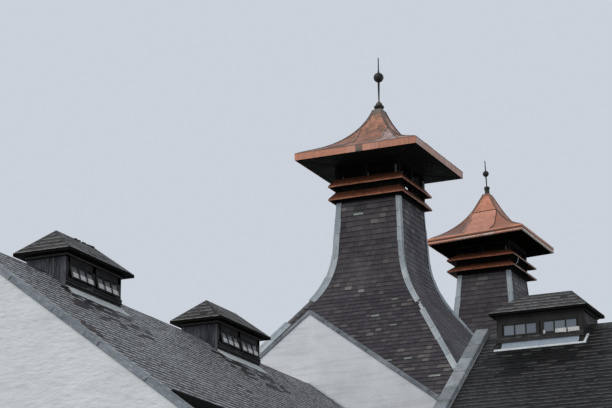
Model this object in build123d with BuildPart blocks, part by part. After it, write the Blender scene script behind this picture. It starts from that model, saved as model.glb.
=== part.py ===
"""A malt distillery: a long malting range, a kiln block with two flared slate spires under copper
caps, and a wing, with glazed lanterns on the ridges. Millimetres, +Z up, +X east, +Y north. The origin
is on the ground, at the middle of the gable wall between the malting range and the kilns."""

import os
from math import cos, radians, sin

from build123d import *

# Walls and copings
wall = 600
half_width = 5920
upstand_width = 340
upstand = 50
coping_height = 120
coping_over = 30

# Roofs: level of the slates at the ridge, rise for each millimetre of run, thickness measured plumb
roof_depth = 220
eaves_over = 180
long_ridge = 11576
long_slope = 0.745
kiln_ridge = 13400
kiln_slope = 0.735
wing_ridge = 11450
wing_slope = 0.797

# Plan
kiln_south = -wall / 2
first_kiln = 4640
kiln_pitch = 9640
kiln_north = 19090
long_south = -16910
wing_axis = -4188
wing_length = 10000
wing_west = half_width
wing_east = wing_west + wing_length
long_eaves = long_ridge - long_slope * half_width
wing_half = (wing_ridge - long_eaves) / wing_slope

# Spires: levels are measured down from the underside of the copper cap's eaves
cap_level = 18800
spire_skin = 200
knee_outs = (112, 200)
knee_drop = 3469
knee_radius = 2970
skirt_slope = 1.40
spire_reach = 5600

# Vents and copper caps: one value for each kiln, south then north. The north spire stands a little
# west of the roof's axis, and its cap has come to lean further to the west, about the north axis
kiln_names = ("south_kiln", "north_kiln")
kiln_axes = (0, -40)
cap_leans = (0, -2.4)
neck_halves = (968, 895)
neck_drops = (1160, 1010)
vent_out = 17
skirt_drops = ((704, 1094), (557, 931))
skirt_halves = (1137, 1155)
skirt_rise = 200
skirt_edge = 40
post = 120
kerb = 90
cap_halves = (1850, 1617)
fascia = 200
fascia_board = 40
fascia_rolls = ((), ((0, 82), (116, 200)))
roll_proud = 18
soffit = 30
cap_skin = 90
cap_bends = ((486, 805), (710, 650))
cap_bend_radii = (2290, 2600)
cap_tips = ((117, 1823), (86, 1926))

# Finials: radius and rise above the cap's eaves, turned about the cap's axis from its tip to the rod
knobs = (((100, 1823), (100, 1877), (148, 1877), (148, 1942), (105, 1942), (94, 2005), (62, 2058),
          (20, 2087)),
         ((84, 1926), (80, 2085), (97, 2100), (97, 2155), (84, 2180), (20, 2195)))
rod_radius = 20
ball_rises = (2832, 2644)
ball_radii = (148, 104)
ball_bands = 8
rod_tips = (3455, 3118)

# Roof lanterns: heights are measured up from the ridge that they straddle
board = 70
lantern_apron = 150
lantern_drip = 30
lantern_sill = 100
lantern_head = 130
lantern_post = 130
lantern_edge = 50
moulding = 24
drip_proud = 50
sill_proud = 25
post_proud = 20
moulding_proud = 45
pane = 10
long_lantern = {"half": 450, "length": 1065, "over": 220, "eaves": 370, "top": 960, "ridge": 755, "tilt": 14}
wing_lantern = {"half": 520, "length": 980, "over": 155, "eaves": 280, "top": 820, "ridge": 600, "tilt": 0}
long_lantern_ys = (-11847, -5278)
wing_lantern_inset = 1711

# Snow guard on the malting range's east slope: heights stand square off the slates
guard_in = 1110
guard_end = 50
guard_pitch = 910
guard_bays = 7
guard_height = 180
guard_gap = 20
guard_board = 25
guard_bar = 8
guard_bar_width = 40
guard_foot = 180
guard_lap = 5

# Openings in the lower walls
window_width = 900
window_height = 1300
window_sill = 1500
west_windows = (-14460, -11660, -6060, -3260)
west_door = -8860
east_windows = (-14460, -11660)
kiln_windows = (4640, 14280)
kiln_door = 9460
wing_windows = (2200, 7800)
wing_door = 5000
door_width = 1500
door_height = 2400
glass_setback = 180

kiln_centres = [(axis, first_kiln + kiln * kiln_pitch) for kiln, axis in enumerate(kiln_axes)]
os.makedirs("parts", exist_ok=True)


def write(part, label):
    part.label = label
    export_step(part, f"parts/{label}.step")


def facing_south(y, axis=0):
    """Section plane across a north-south range: X is east, Y is up and the normal points south."""
    return Plane(origin=(axis, y, 0), x_dir=(1, 0, 0), z_dir=(0, -1, 0))


def facing_east(x, axis):
    """Section plane across an east-west range: X is north, Y is up and the normal points east."""
    return Plane(origin=(x, axis, 0), x_dir=(0, 1, 0), z_dir=(1, 0, 0))


def outline(*points):
    with BuildLine() as edge:
        Polyline(*points, close=True)
    make_face(edge.edges())


def gable(plane, inward, half, ridge, slope, label):
    """A gable wall: its outer strip stands above the slates, the rest stops under the roof.
    inward is +1 where the wall runs along the plane's normal, and -1 where it runs against it."""
    under = ridge - roof_depth
    above = ridge + upstand
    drop = slope * half
    with BuildPart() as piece:
        for head, thickness in ((under, wall), (above, upstand_width)):
            with BuildSketch(plane):
                outline((-half, 0), (half, 0), (half, head - drop), (0, head), (-half, head - drop))
            extrude(amount=inward * thickness)
    write(piece.part, label)


def copings(ends, half, ridge, slope, label):
    """One chevron of coping stones on each gable's upstand. Each end is a plane, the way the wall runs
    from it and how far the stones stand out past the wall's face."""
    base = ridge + upstand
    top = base + coping_height
    drop = slope * half
    with BuildPart() as piece:
        for plane, inward, over in ends:
            with BuildSketch(plane.offset(-inward * over)):
                outline((-half, top - drop), (0, top), (half, top - drop), (half, base - drop), (0, base),
                        (-half, base - drop))
            extrude(amount=inward * (upstand_width + over))
    write(piece.part, label)


def side_wall(plane, side, length, half, ridge, slope, label, holes=()):
    """A side wall along the plane's normal, its head cut to the roof's underside. Each hole is a
    box given by its centre and size."""
    under = ridge - roof_depth
    inner = half - wall
    with BuildPart() as piece:
        with BuildSketch(plane):
            outline((side * half, 0), (side * half, under - slope * half),
                    (side * inner, under - slope * inner), (side * inner, 0))
        extrude(amount=length)
        for centre, size in holes:
            with Locations(centre):
                Box(*size, mode=Mode.SUBTRACT)
    write(piece.part, label)


def roof_side(plane, side, length, half, ridge, slope, label, wells=(), cuts=()):
    """One slope of a roof along the plane's normal, mitred at the ridge. Wells are the boxes that the
    lanterns stand over, and cuts are solids that pass through the roof."""
    edge = half + eaves_over
    foot = ridge - slope * edge
    with BuildPart() as piece:
        with BuildSketch(plane):
            outline((0, ridge), (side * edge, foot), (side * edge, foot - roof_depth),
                    (0, ridge - roof_depth))
        extrude(amount=length)
        for centre, size in wells:
            with Locations(centre):
                Box(*size, mode=Mode.SUBTRACT)
        for cut in cuts:
            add(cut, mode=Mode.SUBTRACT)
    write(piece.part, label)


def mitred(centre, rises, reach, bend=None, radius=0):
    """A square solid whose four sides have one section. centre is x and y of its axis, rises lists half
    width and height from the foot up, and the corner at height bend is rounded."""
    axis, y = centre
    section = [(-x, z) for x, z in rises] + [(x, z) for x, z in reversed(rises)]
    with BuildPart() as piece:
        for plane, how in ((facing_south(y, axis), Mode.ADD), (facing_east(axis, y), Mode.INTERSECT)):
            with BuildSketch(plane) as profile:
                outline(*section)
                if bend:
                    fillet(profile.vertices().filter_by_position(Axis.Y, bend - 1, bend + 1), radius)
            extrude(amount=reach, both=True, mode=how)
    return piece.part


def square_tube(centre, outer, inner, low, high):
    """A square ring on a kiln's axis, added to the part being built."""
    with Locations((*centre, (low + high) / 2)):
        Box(2 * outer, 2 * outer, high - low)
        Box(2 * inner, 2 * inner, high - low, mode=Mode.SUBTRACT)


def spire_solid(kiln, inset):
    """The spire as one solid: battered neck, arc and steep skirt, smaller all round by inset."""
    neck = neck_halves[kiln] - inset
    knee = neck + knee_outs[kiln]
    foot = spire_reach - inset
    levels = [(foot, knee_drop + skirt_slope * (foot - knee)), (knee, knee_drop), (neck, neck_drops[kiln])]
    rises = [(half, cap_level - drop) for half, drop in levels]
    return mitred(kiln_centres[kiln], rises, spire_reach, cap_level - knee_drop, knee_radius)


def lean(part, kiln):
    """Leans a solid with its kiln's cap, about the middle of the cap's eaves."""
    return part.rotate(Axis((*kiln_centres[kiln], cap_level), (0, 1, 0)), cap_leans[kiln])


# Openings through the long walls of the range and the kilns
def window_hole(side, y):
    return ((side * (half_width - wall / 2), y, window_sill + window_height / 2),
            (2 * wall, window_width, window_height))


def door_hole(side, y):
    return ((side * (half_width - wall / 2), y, door_height / 2), (2 * wall, door_width, door_height))


# The malting range
long_length = kiln_south - long_south
gable(facing_south(long_south), -1, half_width, long_ridge, long_slope, "long_range_south_gable")
copings([(facing_south(long_south), -1, coping_over)], half_width, long_ridge, long_slope,
        "long_range_coping")
east_holes = [window_hole(1, y) for y in east_windows]
west_holes = [window_hole(-1, y) for y in west_windows] + [door_hole(-1, west_door)]
for side, label, holes in ((1, "east", east_holes), (-1, "west", west_holes)):
    side_wall(facing_south(kiln_south), side, long_length - wall, half_width, long_ridge, long_slope,
              f"long_range_{label}_wall", holes)

long_wells = []
for y in long_lantern_ys:
    across = 2 * (long_lantern["half"] - board)
    along = 2 * (long_lantern["length"] - board)
    long_wells.append(((0, y, long_ridge), (across, along, 4 * roof_depth)))
wing_gap = 2 * (wing_half + eaves_over + coping_over)
clear_of_wing = ((half_width + eaves_over, wing_axis, long_eaves),
                 (2 * eaves_over, wing_gap, 8 * roof_depth))
for side, label in ((1, "east"), (-1, "west")):
    wells = long_wells + ([clear_of_wing] if side == 1 else [])
    roof_side(facing_south(kiln_south), side, long_length - upstand_width, half_width, long_ridge,
              long_slope, f"long_range_{label}_roof", wells)


def down_slope(y):
    """Section plane at the snow guard: X runs down the slates and Y stands square off them."""
    x = half_width - guard_in
    return Plane(origin=(x, y, long_ridge - long_slope * x), x_dir=(1, 0, -long_slope), z_dir=(0, -1, 0))


# Two boards with a rail over their gap, on bars that are bent to lie on the slates
guard_south = long_south + upstand_width + guard_bar
guard_north = guard_south + guard_bays * guard_pitch + 2 * guard_end
board_height = (guard_height - guard_bar - guard_gap) / 2
with BuildPart() as guard:
    with BuildSketch(down_slope(guard_north)):
        for low in (guard_bar, guard_bar + board_height + guard_gap):
            with Locations((0, low)):
                Rectangle(guard_board, board_height, align=Align.MIN)
        with Locations((guard_board, guard_bar + board_height - guard_lap)):
            Rectangle(guard_bar, guard_gap + 2 * guard_lap, align=Align.MIN)
    extrude(amount=guard_north - guard_south)
    for bay in range(guard_bays + 1):
        with BuildSketch(down_slope(guard_north - guard_end - bay * guard_pitch + guard_bar_width / 2)):
            back = guard_board + guard_bar
            outline((back, 0), (back, guard_height), (guard_board, guard_height), (guard_board, guard_bar),
                    (back - guard_foot, guard_bar), (back - guard_foot, 0))
        extrude(amount=guard_bar_width)
write(guard.part, "long_range_snow_guard")


# The wing
def wing_hole(side, x, width, sill, height):
    return ((wing_west + x, wing_axis + side * (wing_half - wall / 2), sill + height / 2),
            (width, 2 * wall, height))


wing_ends = [(facing_east(wing_west, wing_axis), 1, 0), (facing_east(wing_east, wing_axis), -1, coping_over)]
for (plane, inward, over), label in zip(wing_ends, ("west", "east")):
    gable(plane, inward, wing_half, wing_ridge, wing_slope, f"wing_{label}_gable")
copings(wing_ends, wing_half, wing_ridge, wing_slope, "wing_copings")
for side, label in ((1, "north"), (-1, "south")):
    holes = [wing_hole(side, x, window_width, window_sill, window_height) for x in wing_windows]
    if side == -1:
        holes.append(wing_hole(side, wing_door, door_width, 0, door_height))
    side_wall(facing_east(wing_west + wall, wing_axis), side, wing_length - 2 * wall, wing_half, wing_ridge,
              wing_slope, f"wing_{label}_wall", holes)

wing_lantern_xs = (wing_west + wing_lantern_inset, wing_east - wing_lantern_inset)
wing_wells = []
for x in wing_lantern_xs:
    across = 2 * (wing_lantern["half"] - board)
    along = 2 * (wing_lantern["length"] - board)
    wing_wells.append(((x, wing_axis, wing_ridge), (along, across, 4 * roof_depth)))
for side, label in ((1, "north"), (-1, "south")):
    roof_side(facing_east(wing_west + upstand_width, wing_axis), side, wing_length - 2 * upstand_width,
              wing_half, wing_ridge, wing_slope, f"wing_{label}_roof", wing_wells)

# The kiln block
kiln_ends = [(facing_south(kiln_south), -1, coping_over), (facing_south(kiln_north), 1, coping_over)]
for (plane, inward, over), label in zip(kiln_ends, ("south", "north")):
    gable(plane, inward, half_width, kiln_ridge, kiln_slope, f"kiln_{label}_gable")
copings(kiln_ends, half_width, kiln_ridge, kiln_slope, "kiln_copings")
kiln_length = kiln_north - kiln_south
spires = [spire_solid(kiln, 0) for kiln in range(len(kiln_names))]
hollows = [spire_solid(kiln, spire_skin) for kiln in range(len(kiln_names))]
for side, label in ((1, "east"), (-1, "west")):
    holes = [window_hole(side, y) for y in kiln_windows]
    if side == -1:
        holes.append(door_hole(side, kiln_door))
    side_wall(facing_south(kiln_north - wall), side, kiln_length - 2 * wall, half_width, kiln_ridge,
              kiln_slope, f"kiln_{label}_wall", holes)
    roof_side(facing_south(kiln_north - upstand_width), side, kiln_length - 2 * upstand_width, half_width,
              kiln_ridge, kiln_slope, f"kiln_{label}_roof", cuts=spires)

# The room under the kiln block's main roof, which the spires rise out of
reach = half_width + eaves_over
under_ridge = kiln_ridge - roof_depth
with BuildPart() as under_roof:
    with BuildSketch(facing_south(kiln_north)):
        outline((-reach, 0), (reach, 0), (reach, under_ridge - kiln_slope * reach), (0, under_ridge),
                (-reach, under_ridge - kiln_slope * reach))
    extrude(amount=kiln_length)

# The spires, one slope to each side
valley = first_kiln + kiln_pitch / 2
spans = ((kiln_south + upstand_width, valley), (valley, kiln_north - upstand_width))
for kiln, name in enumerate(kiln_names):
    south_end, north_end = spans[kiln]
    for turn, label in enumerate(("south", "east", "north", "west")):
        with BuildPart() as slope:
            add(spires[kiln])
            add(hollows[kiln], mode=Mode.SUBTRACT)
            add(under_roof.part, mode=Mode.SUBTRACT)
            with BuildSketch(Plane.XY.move(Location((*kiln_centres[kiln], 0), (0, 0, 90 * turn)))):
                outline((0, 0), (-half_width, -half_width), (half_width, -half_width))
            extrude(amount=cap_level, mode=Mode.INTERSECT)
            with Locations((0, (south_end + north_end) / 2, cap_level / 2)):
                Box(2 * half_width, north_end - south_end, cap_level, mode=Mode.INTERSECT)
        write(slope.part, f"{name}_spire_{label}")

STANDING = (Align.CENTER, Align.CENTER, Align.MIN)

# Vents and copper caps
for kiln, name in enumerate(kiln_names):
    centre = kiln_centres[kiln]
    eaves_middle = Location((*centre, cap_level), (0, cap_leans[kiln], 0))
    vent_half = neck_halves[kiln] + vent_out
    skirt_half = skirt_halves[kiln]
    foot = cap_level - neck_drops[kiln]
    upper_skirt, lower_skirt = (cap_level - drop for drop in skirt_drops[kiln])
    with BuildPart() as vent:
        for low, high in ((foot, lower_skirt + skirt_rise), (upper_skirt, upper_skirt + skirt_rise),
                          (cap_level - kerb, cap_level + kerb)):
            square_tube(centre, vent_half, vent_half - post, low, high)
        spacing = vent_half - post / 2
        spots = [(x * spacing, y * spacing) for x in (-1, 0, 1) for y in (-1, 0, 1) if x or y]
        with Locations(*[(centre[0] + x, centre[1] + y, foot) for x, y in spots]):
            Box(post, post, cap_level - foot, align=STANDING)
        with Locations(eaves_middle):
            Box(4 * vent_half, 4 * vent_half, 4 * kerb, align=STANDING, mode=Mode.SUBTRACT)
    write(vent.part, f"{name}_vent_frame")

    with BuildPart() as skirts:
        for edge in (upper_skirt, lower_skirt):
            add(mitred(centre, [(skirt_half, edge), (skirt_half, edge + skirt_edge),
                                (vent_half, edge + skirt_edge + skirt_rise)], skirt_half))
            add(mitred(centre, [(skirt_half, edge), (vent_half, edge + skirt_rise)], skirt_half),
                mode=Mode.SUBTRACT)
            with Locations((*centre, edge + skirt_rise)):
                Box(2 * vent_half, 2 * vent_half, 2 * skirt_rise, mode=Mode.SUBTRACT)
    write(skirts.part, f"{name}_vent_skirts")

    half = cap_halves[kiln]
    with BuildPart() as eave:
        square_tube(centre, half, half - fascia_board, cap_level, cap_level + fascia)
        for low, high in fascia_rolls[kiln]:
            square_tube(centre, half + roll_proud, half - fascia_board, cap_level + low, cap_level + high)
        square_tube(centre, half, vent_half - post, cap_level, cap_level + soffit)
    write(lean(eave.part, kiln), f"{name}_cap_eaves")

    bend_half, bend_rise = cap_bends[kiln]
    tip_half, tip_rise = cap_tips[kiln]
    rises = [(half, cap_level + fascia), (bend_half, cap_level + bend_rise),
             (tip_half, cap_level + tip_rise)]
    lowered = [(x, z - cap_skin) for x, z in rises]
    with BuildPart() as cap:
        add(mitred(centre, rises, half, rises[1][1], cap_bend_radii[kiln]))
        add(mitred(centre, lowered, half, lowered[1][1], cap_bend_radii[kiln]), mode=Mode.SUBTRACT)
    write(lean(cap.part, kiln), f"{name}_copper_cap")

    # The ball is turned in straight bands, from the rod's face round to the rod's face again
    turns = [radians(180 * band / ball_bands) for band in range(ball_bands + 1)]
    ball = [(max(rod_radius, ball_radii[kiln] * sin(turn)), ball_rises[kiln] - ball_radii[kiln] * cos(turn))
            for turn in turns]
    profile = [*knobs[kiln], *ball, (rod_radius, rod_tips[kiln]), (0, rod_tips[kiln]), (0, tip_rise)]
    with BuildPart() as finial:
        with BuildSketch(facing_south(centre[1], centre[0])):
            outline(*[(radius, cap_level + rise) for radius, rise in profile])
        revolve(axis=Axis((*centre, 0), (0, 0, 1)))
    write(lean(finial.part, kiln), f"{name}_finial")


# Roof lanterns, modelled on a north-south ridge at the origin and then set in place
HANGING = (Align.CENTER, Align.CENTER, Align.MAX)


def lantern(size, slope):
    """Walls and roof of a lantern, and the two panes of each long side, which hang from their heads."""
    half, length, over, low = size["half"], size["length"], size["over"], size["eaves"]
    drip = lantern_apron - slope * half
    sill = drip + lantern_sill
    head = low - lantern_head
    glass_width = length - 1.5 * lantern_post
    hinges = [(side * (half - board / 2), end * (length - lantern_post / 2) / 2, head)
              for side in (-1, 1) for end in (-1, 1)]
    bands = ((drip_proud, post_proud, drip, drip + lantern_drip), (sill_proud, post_proud, drip, sill),
             (moulding_proud, moulding_proud, low - moulding, low))
    deep = slope * length + wall
    corner = post_proud - lantern_post / 2
    with BuildPart() as walls:
        with Locations((0, 0, low - deep / 2)):
            Box(2 * half, 2 * length, deep)
            Box(2 * (half + post_proud), lantern_post, deep)
            with GridLocations(2 * (half + corner), 2 * (length + corner), 2, 2):
                Box(lantern_post, lantern_post, deep)
        for side_proud, end_proud, bottom, top in bands:
            with Locations((0, 0, (bottom + top) / 2)):
                Box(2 * (half + side_proud), 2 * (length + end_proud), top - bottom)
        with Locations((0, 0, low - deep / 2)):
            Box(2 * (half - board), 2 * (length - board), deep, mode=Mode.SUBTRACT)
        with Locations(*hinges):
            Box(3 * board, glass_width, head - sill, align=HANGING, mode=Mode.SUBTRACT)
        with BuildSketch(facing_south(length + board)):
            outline((0, 0), (half + board, -slope * (half + board)), (half + board, -2 * deep),
                    (-half - board, -2 * deep), (-half - board, -slope * (half + board)))
        extrude(amount=2 * (length + board), mode=Mode.SUBTRACT)
    panes = [(Location((x, y, z - pane / 2), (0, -size["tilt"] if x > 0 else size["tilt"], 0)),
              (pane, glass_width, z - sill - pane)) for x, y, z in hinges]
    with BuildPart() as roof:
        for plane, wide, top_half, how in (
                (facing_south(0), half + over, 0, Mode.ADD),
                (facing_east(0, 0), length + over, size["ridge"], Mode.INTERSECT)):
            with BuildSketch(plane):
                rise = [(wide, low), (wide, low + lantern_edge), (top_half, size["top"])]
                points = rise + [(-x, z) for x, z in reversed(rise)]
                outline(*points[:3], *points[3 if top_half else 4:])
            extrude(amount=2 * length, both=True, mode=how)
    return walls.part, roof.part, panes


glazing = []
places = [(f"long_range_lantern_{number}", long_lantern, long_slope, Location((0, y, long_ridge)))
          for number, y in enumerate(long_lantern_ys, 1)]
places += [(f"wing_lantern_{number}", wing_lantern, wing_slope,
            Location((x, wing_axis, wing_ridge), (0, 0, -90)))
           for number, x in enumerate(wing_lantern_xs, 1)]
for name, size, slope, place in places:
    walls, roof, panes = lantern(size, slope)
    write(walls.moved(place), f"{name}_walls")
    write(roof.moved(place), f"{name}_roof")
    glazing.append((place, panes))

with BuildPart() as lantern_glass:
    for place, panes in glazing:
        with Locations(place):
            for hinge, sheet in panes:
                with Locations(hinge):
                    Box(*sheet, align=HANGING)
write(lantern_glass.part, "lantern_glass")

with BuildPart() as wall_glass:
    for side in (1, -1):
        for y in kiln_windows + (east_windows if side == 1 else west_windows):
            with Locations((side * (half_width - glass_setback), y, window_sill + window_height / 2)):
                Box(pane, window_width, window_height)
        for x in wing_windows:
            with Locations((wing_west + x, wing_axis + side * (wing_half - glass_setback),
                            window_sill + window_height / 2)):
                Box(window_width, pane, window_height)
write(wall_glass.part, "wall_glass")
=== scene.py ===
# %% [markdown]
# A malt distillery seen from the yard: slated ranges, white walls and two flared kiln spires under
# copper caps. The walls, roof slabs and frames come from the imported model. What this lesson adds is
# the skin: every slate, lead roll, coping stone, copper sheet, board and bar, and their finishes.

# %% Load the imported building
import math
import random

import bpy
import numpy as np
from mathutils import Matrix, Vector


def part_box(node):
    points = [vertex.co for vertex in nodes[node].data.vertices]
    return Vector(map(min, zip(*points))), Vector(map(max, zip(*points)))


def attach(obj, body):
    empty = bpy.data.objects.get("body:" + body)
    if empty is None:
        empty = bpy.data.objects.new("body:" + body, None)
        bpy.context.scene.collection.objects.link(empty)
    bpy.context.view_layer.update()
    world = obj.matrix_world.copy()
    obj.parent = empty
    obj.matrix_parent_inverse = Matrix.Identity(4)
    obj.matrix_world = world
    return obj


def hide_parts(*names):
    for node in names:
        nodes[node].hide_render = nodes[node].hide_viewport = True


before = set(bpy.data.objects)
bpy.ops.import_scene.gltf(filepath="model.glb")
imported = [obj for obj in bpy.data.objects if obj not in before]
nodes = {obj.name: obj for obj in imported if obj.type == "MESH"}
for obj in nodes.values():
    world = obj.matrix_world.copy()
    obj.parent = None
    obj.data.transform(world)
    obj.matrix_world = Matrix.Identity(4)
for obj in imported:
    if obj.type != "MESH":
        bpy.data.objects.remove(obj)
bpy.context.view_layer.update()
up = Vector((0, 0, 1))

# %% [markdown]
# The photograph was taken from the yard at eye height, with the camera tipped up at the roofs, so all
# upright edges lean inwards a little. The lens is a short telephoto, worked out from the square caps.

# %% Camera
eye = Vector((20.604, -45.137, 1.626))
turned_left = math.radians(24.77)
tipped_up = math.radians(16.70)
rolled = math.radians(-0.31)
camera_data = bpy.data.cameras.new("camera")
camera_data.sensor_fit = "HORIZONTAL"
camera_data.sensor_width = 36
camera_data.lens = 114.95
camera_data.clip_end = 500
camera = bpy.data.objects.new("camera", camera_data)
looking = (Matrix.Rotation(turned_left, 4, "Z") @ Matrix.Rotation(math.pi / 2 + tipped_up, 4, "X")
           @ Matrix.Rotation(rolled, 4, "Z"))
camera.matrix_world = Matrix.Translation(eye) @ looking
bpy.context.collection.objects.link(camera)
bpy.context.scene.camera = camera
print("camera at", tuple(round(c, 2) for c in eye))

# %% [markdown]
# The sky, the weather and every finish are trees of shader nodes. One helper makes a node with its
# settings and links at once, so each tree below reads as a list of what feeds what.

# %% Node helpers
def node(tree, kind, links=(), values=(), **settings):
    """One node. links are (input, output socket), values are (input number, value), and settings are
    properties, or inputs by name."""
    made = tree.nodes.new(kind)

    def named(name):
        return next(socket for socket in made.inputs
                    if socket.enabled and socket.name.lower() == name.lower())

    for key, value in settings.items():
        if hasattr(made, key):
            setattr(made, key, value)
        else:
            named(key.replace("_", " ")).default_value = value
    for number, value in values:
        made.inputs[number].default_value = value
    for where, source in links:
        tree.links.new(source, made.inputs[where] if isinstance(where, int) else named(where))
    return made


def sum_up(tree, kind, operation, *sources):
    """A maths node of two sources."""
    return node(tree, kind, list(enumerate(sources)), operation=operation).outputs[0]


# %% [markdown]
# The day is overcast, so nearly all light comes from the whole sky. A world of one pale colour gives
# that, and one very soft lamp from the left keeps the faces apart. The camera, mirrors and panes see
# a paler sky than the one that lights the walls, which Light Path's rays make possible.

# %% Sky and lamp
bpy.context.scene.view_settings.view_transform = "Standard"
world = bpy.data.worlds.new("overcast")
bpy.context.scene.world = world
world.use_nodes = True
sky = world.node_tree
sky.nodes.clear()
sky_light = node(sky, "ShaderNodeBackground", Color=(0.86, 0.92, 1.0, 1), Strength=0.62)
sky_seen = node(sky, "ShaderNodeBackground", Color=(0.60, 0.64, 0.71, 1), Strength=1.0)
ray = node(sky, "ShaderNodeLightPath").outputs
seen = sum_up(sky, "ShaderNodeMath", "MAXIMUM", ray["Is Camera Ray"], ray["Is Glossy Ray"])
seen = sum_up(sky, "ShaderNodeMath", "MAXIMUM", seen, ray["Is Transmission Ray"])
mixed_sky = node(sky, "ShaderNodeMixShader",
                 [("Fac", seen), (1, sky_light.outputs[0]), (2, sky_seen.outputs[0])])
node(sky, "ShaderNodeOutputWorld", [("Surface", mixed_sky.outputs[0])])

lamp_data = bpy.data.lights.new("soft_sun", "SUN")
lamp_data.energy = 1.5
lamp_data.angle = math.radians(50)
lamp_data.color = (1.0, 0.98, 0.94)
lamp = bpy.data.objects.new("soft_sun", lamp_data)
lamp.rotation_euler = (math.radians(38), math.radians(-22), 0)
bpy.context.collection.objects.link(lamp)

# %% Floor
half_floor = 80
floor_mesh = bpy.data.meshes.new("floor")
floor_corners = [(x * half_floor, y * half_floor, 0) for x, y in ((-1, -1), (1, -1), (1, 1), (-1, 1))]
floor_mesh.from_pydata(floor_corners, [], [(0, 1, 2, 3)])
floor = bpy.data.objects.new("floor", floor_mesh)
bpy.context.collection.objects.link(floor)
floor_paint = bpy.data.materials.new("pale_floor")
floor_paint.use_nodes = True
floor_shader = floor_paint.node_tree.nodes["Principled BSDF"].inputs
floor_shader["Base Color"].default_value = (0.62, 0.63, 0.64, 1)
floor_shader["Roughness"].default_value = 0.9
floor_mesh.materials.append(floor_paint)
print("sky, lamp and floor made")

# %% [markdown]
# Weather is the same everywhere on a roof: broad drifts of damp and lichen, fine speckle, and streaks
# that run down. Each is a node group with named inputs, built once, so every finish below can take
# the same weather at its own scale. A group only gives masks and normals, and the shader stays in the
# material.

# %% Node group helpers
FLOAT, VECTOR = "NodeSocketFloat", "NodeSocketVector"


def group(name, inputs, **outputs):
    """A shader group with float inputs (name, value) and outputs name=kind. Gives the tree, what comes
    in and what goes out."""
    tree = bpy.data.node_groups.new(name, "ShaderNodeTree")
    for label, value in inputs:
        tree.interface.new_socket(name=label, in_out="INPUT", socket_type=FLOAT).default_value = value
    for label, kind in outputs.items():
        tree.interface.new_socket(name=label, in_out="OUTPUT", socket_type=kind)
    return tree, tree.nodes.new("NodeGroupInput").outputs, tree.nodes.new("NodeGroupOutput").inputs


def position(tree):
    return node(tree, "ShaderNodeNewGeometry").outputs["Position"]


def one_over(tree, size):
    """The scale that a noise texture takes for a size in metres."""
    return node(tree, "ShaderNodeMath", [(1, size)], [(0, 1.0)], operation="DIVIDE").outputs[0]


def spread(tree, value, least, most, **settings):
    """Maps least to most onto 0 to 1."""
    made = node(tree, "ShaderNodeMapRange", [("Value", value)], From_Min=least, From_Max=most, **settings)
    return made.outputs[0]


# %% Group: drifts of damp and fine speckle
drift_group, given, result = group(
    "drift", [("Patch size", 1.5), ("Speck size", 0.05)], Drift=FLOAT, Speck=FLOAT)
place = position(drift_group)
for size_name, mask_name, least, most in (("Patch size", "Drift", 0.35, 0.68),
                                          ("Speck size", "Speck", 0.5, 0.72)):
    noise = node(drift_group, "ShaderNodeTexNoise",
                 [("Vector", place), ("Scale", one_over(drift_group, given[size_name]))],
                 detail=5.0, roughness=0.6)
    drift_group.links.new(spread(drift_group, noise.outputs[0], least, most), result[mask_name])

# %% Group: rain streaks that run down a wall
streak_group, given, result = group("rain_streaks", [("Width", 0.12), ("Length", 2.0)], Streak=FLOAT)
thin = one_over(streak_group, given["Width"])
squeeze = node(streak_group, "ShaderNodeCombineXYZ",
               [("X", thin), ("Y", thin), ("Z", one_over(streak_group, given["Length"]))])
scaled = sum_up(streak_group, "ShaderNodeVectorMath", "MULTIPLY", position(streak_group), squeeze.outputs[0])
noise = node(streak_group, "ShaderNodeTexNoise", [("Vector", scaled)], scale=1.0, detail=3.0)
streak_group.links.new(spread(streak_group, noise.outputs[0], 0.48, 0.72), result["Streak"])

# %% Group: rough skin, as a normal
skin_group, given, result = group(
    "rough_skin", [("Grain size", 0.02), ("Height", 0.004), ("Strength", 0.6), ("Flatten", 1.0)],
    Normal=VECTOR)
flat = node(skin_group, "ShaderNodeCombineXYZ", [("Z", given["Flatten"])], X=1.0, Y=1.0)
flattened = sum_up(skin_group, "ShaderNodeVectorMath", "MULTIPLY", position(skin_group), flat.outputs[0])
noise = node(skin_group, "ShaderNodeTexNoise",
             [("Vector", flattened), ("Scale", one_over(skin_group, given["Grain size"]))],
             detail=4.0, roughness=0.65)
bump = node(skin_group, "ShaderNodeBump",
            [("Height", noise.outputs[0]), ("Strength", given["Strength"]), ("Distance", given["Height"])])
skin_group.links.new(bump.outputs[0], result["Normal"])

# %% [markdown]
# A slate is palest along its tail, partly from wear and partly as a painted highlight where the tail
# catches the light, and darkest just under the tail of the slate above it, which is painted shade. Each
# slate carries its rise, from 0 along its tail to 1 at its hidden head, and this group turns the rise
# into two masks. The bays of a lead roll carry the same rise, which puts a dark line on each joint.

# %% Group: tails partly worn and partly painted highlight, heads in painted shade
course_group, given, result = group(
    "courses", [("Tail", 0.12), ("Shade from", 0.58), ("Shade to", 0.80)], Tail=FLOAT, Shade=FLOAT)
rise = node(course_group, "ShaderNodeAttribute", attribute_name="rise").outputs["Fac"]
patchy = node(course_group, "ShaderNodeTexNoise", [("Vector", position(course_group))], scale=9.0, detail=3.0)
patchy_share = spread(course_group, patchy.outputs[0], 0.36, 0.56, To_Min=0.25)
tail = node(course_group, "ShaderNodeMapRange", [("Value", rise), ("From Min", given["Tail"])], From_Max=0.0)
# On slates the tail mask is partly wear and partly a painted highlight
tail_end = sum_up(course_group, "ShaderNodeMath", "MULTIPLY", tail.outputs[0], patchy_share)
# The shade mask is painted shade just under the tail of the slate above
shade = node(course_group, "ShaderNodeMapRange",
             [("Value", rise), ("From Min", given["Shade from"]), ("From Max", given["Shade to"])])
course_group.links.new(tail_end, result["Tail"])
course_group.links.new(shade.outputs[0], result["Shade"])
print("node groups:", [tree.name for tree in bpy.data.node_groups])

# %% [markdown]
# A finish is made by one function that stacks layers of colour: a base, then any number of (mask,
# colour, amount) layers. The masks come from the weather groups, and for slates and sheets from the
# tone that each small piece carries on its faces, so that no two neighbours match.

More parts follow.
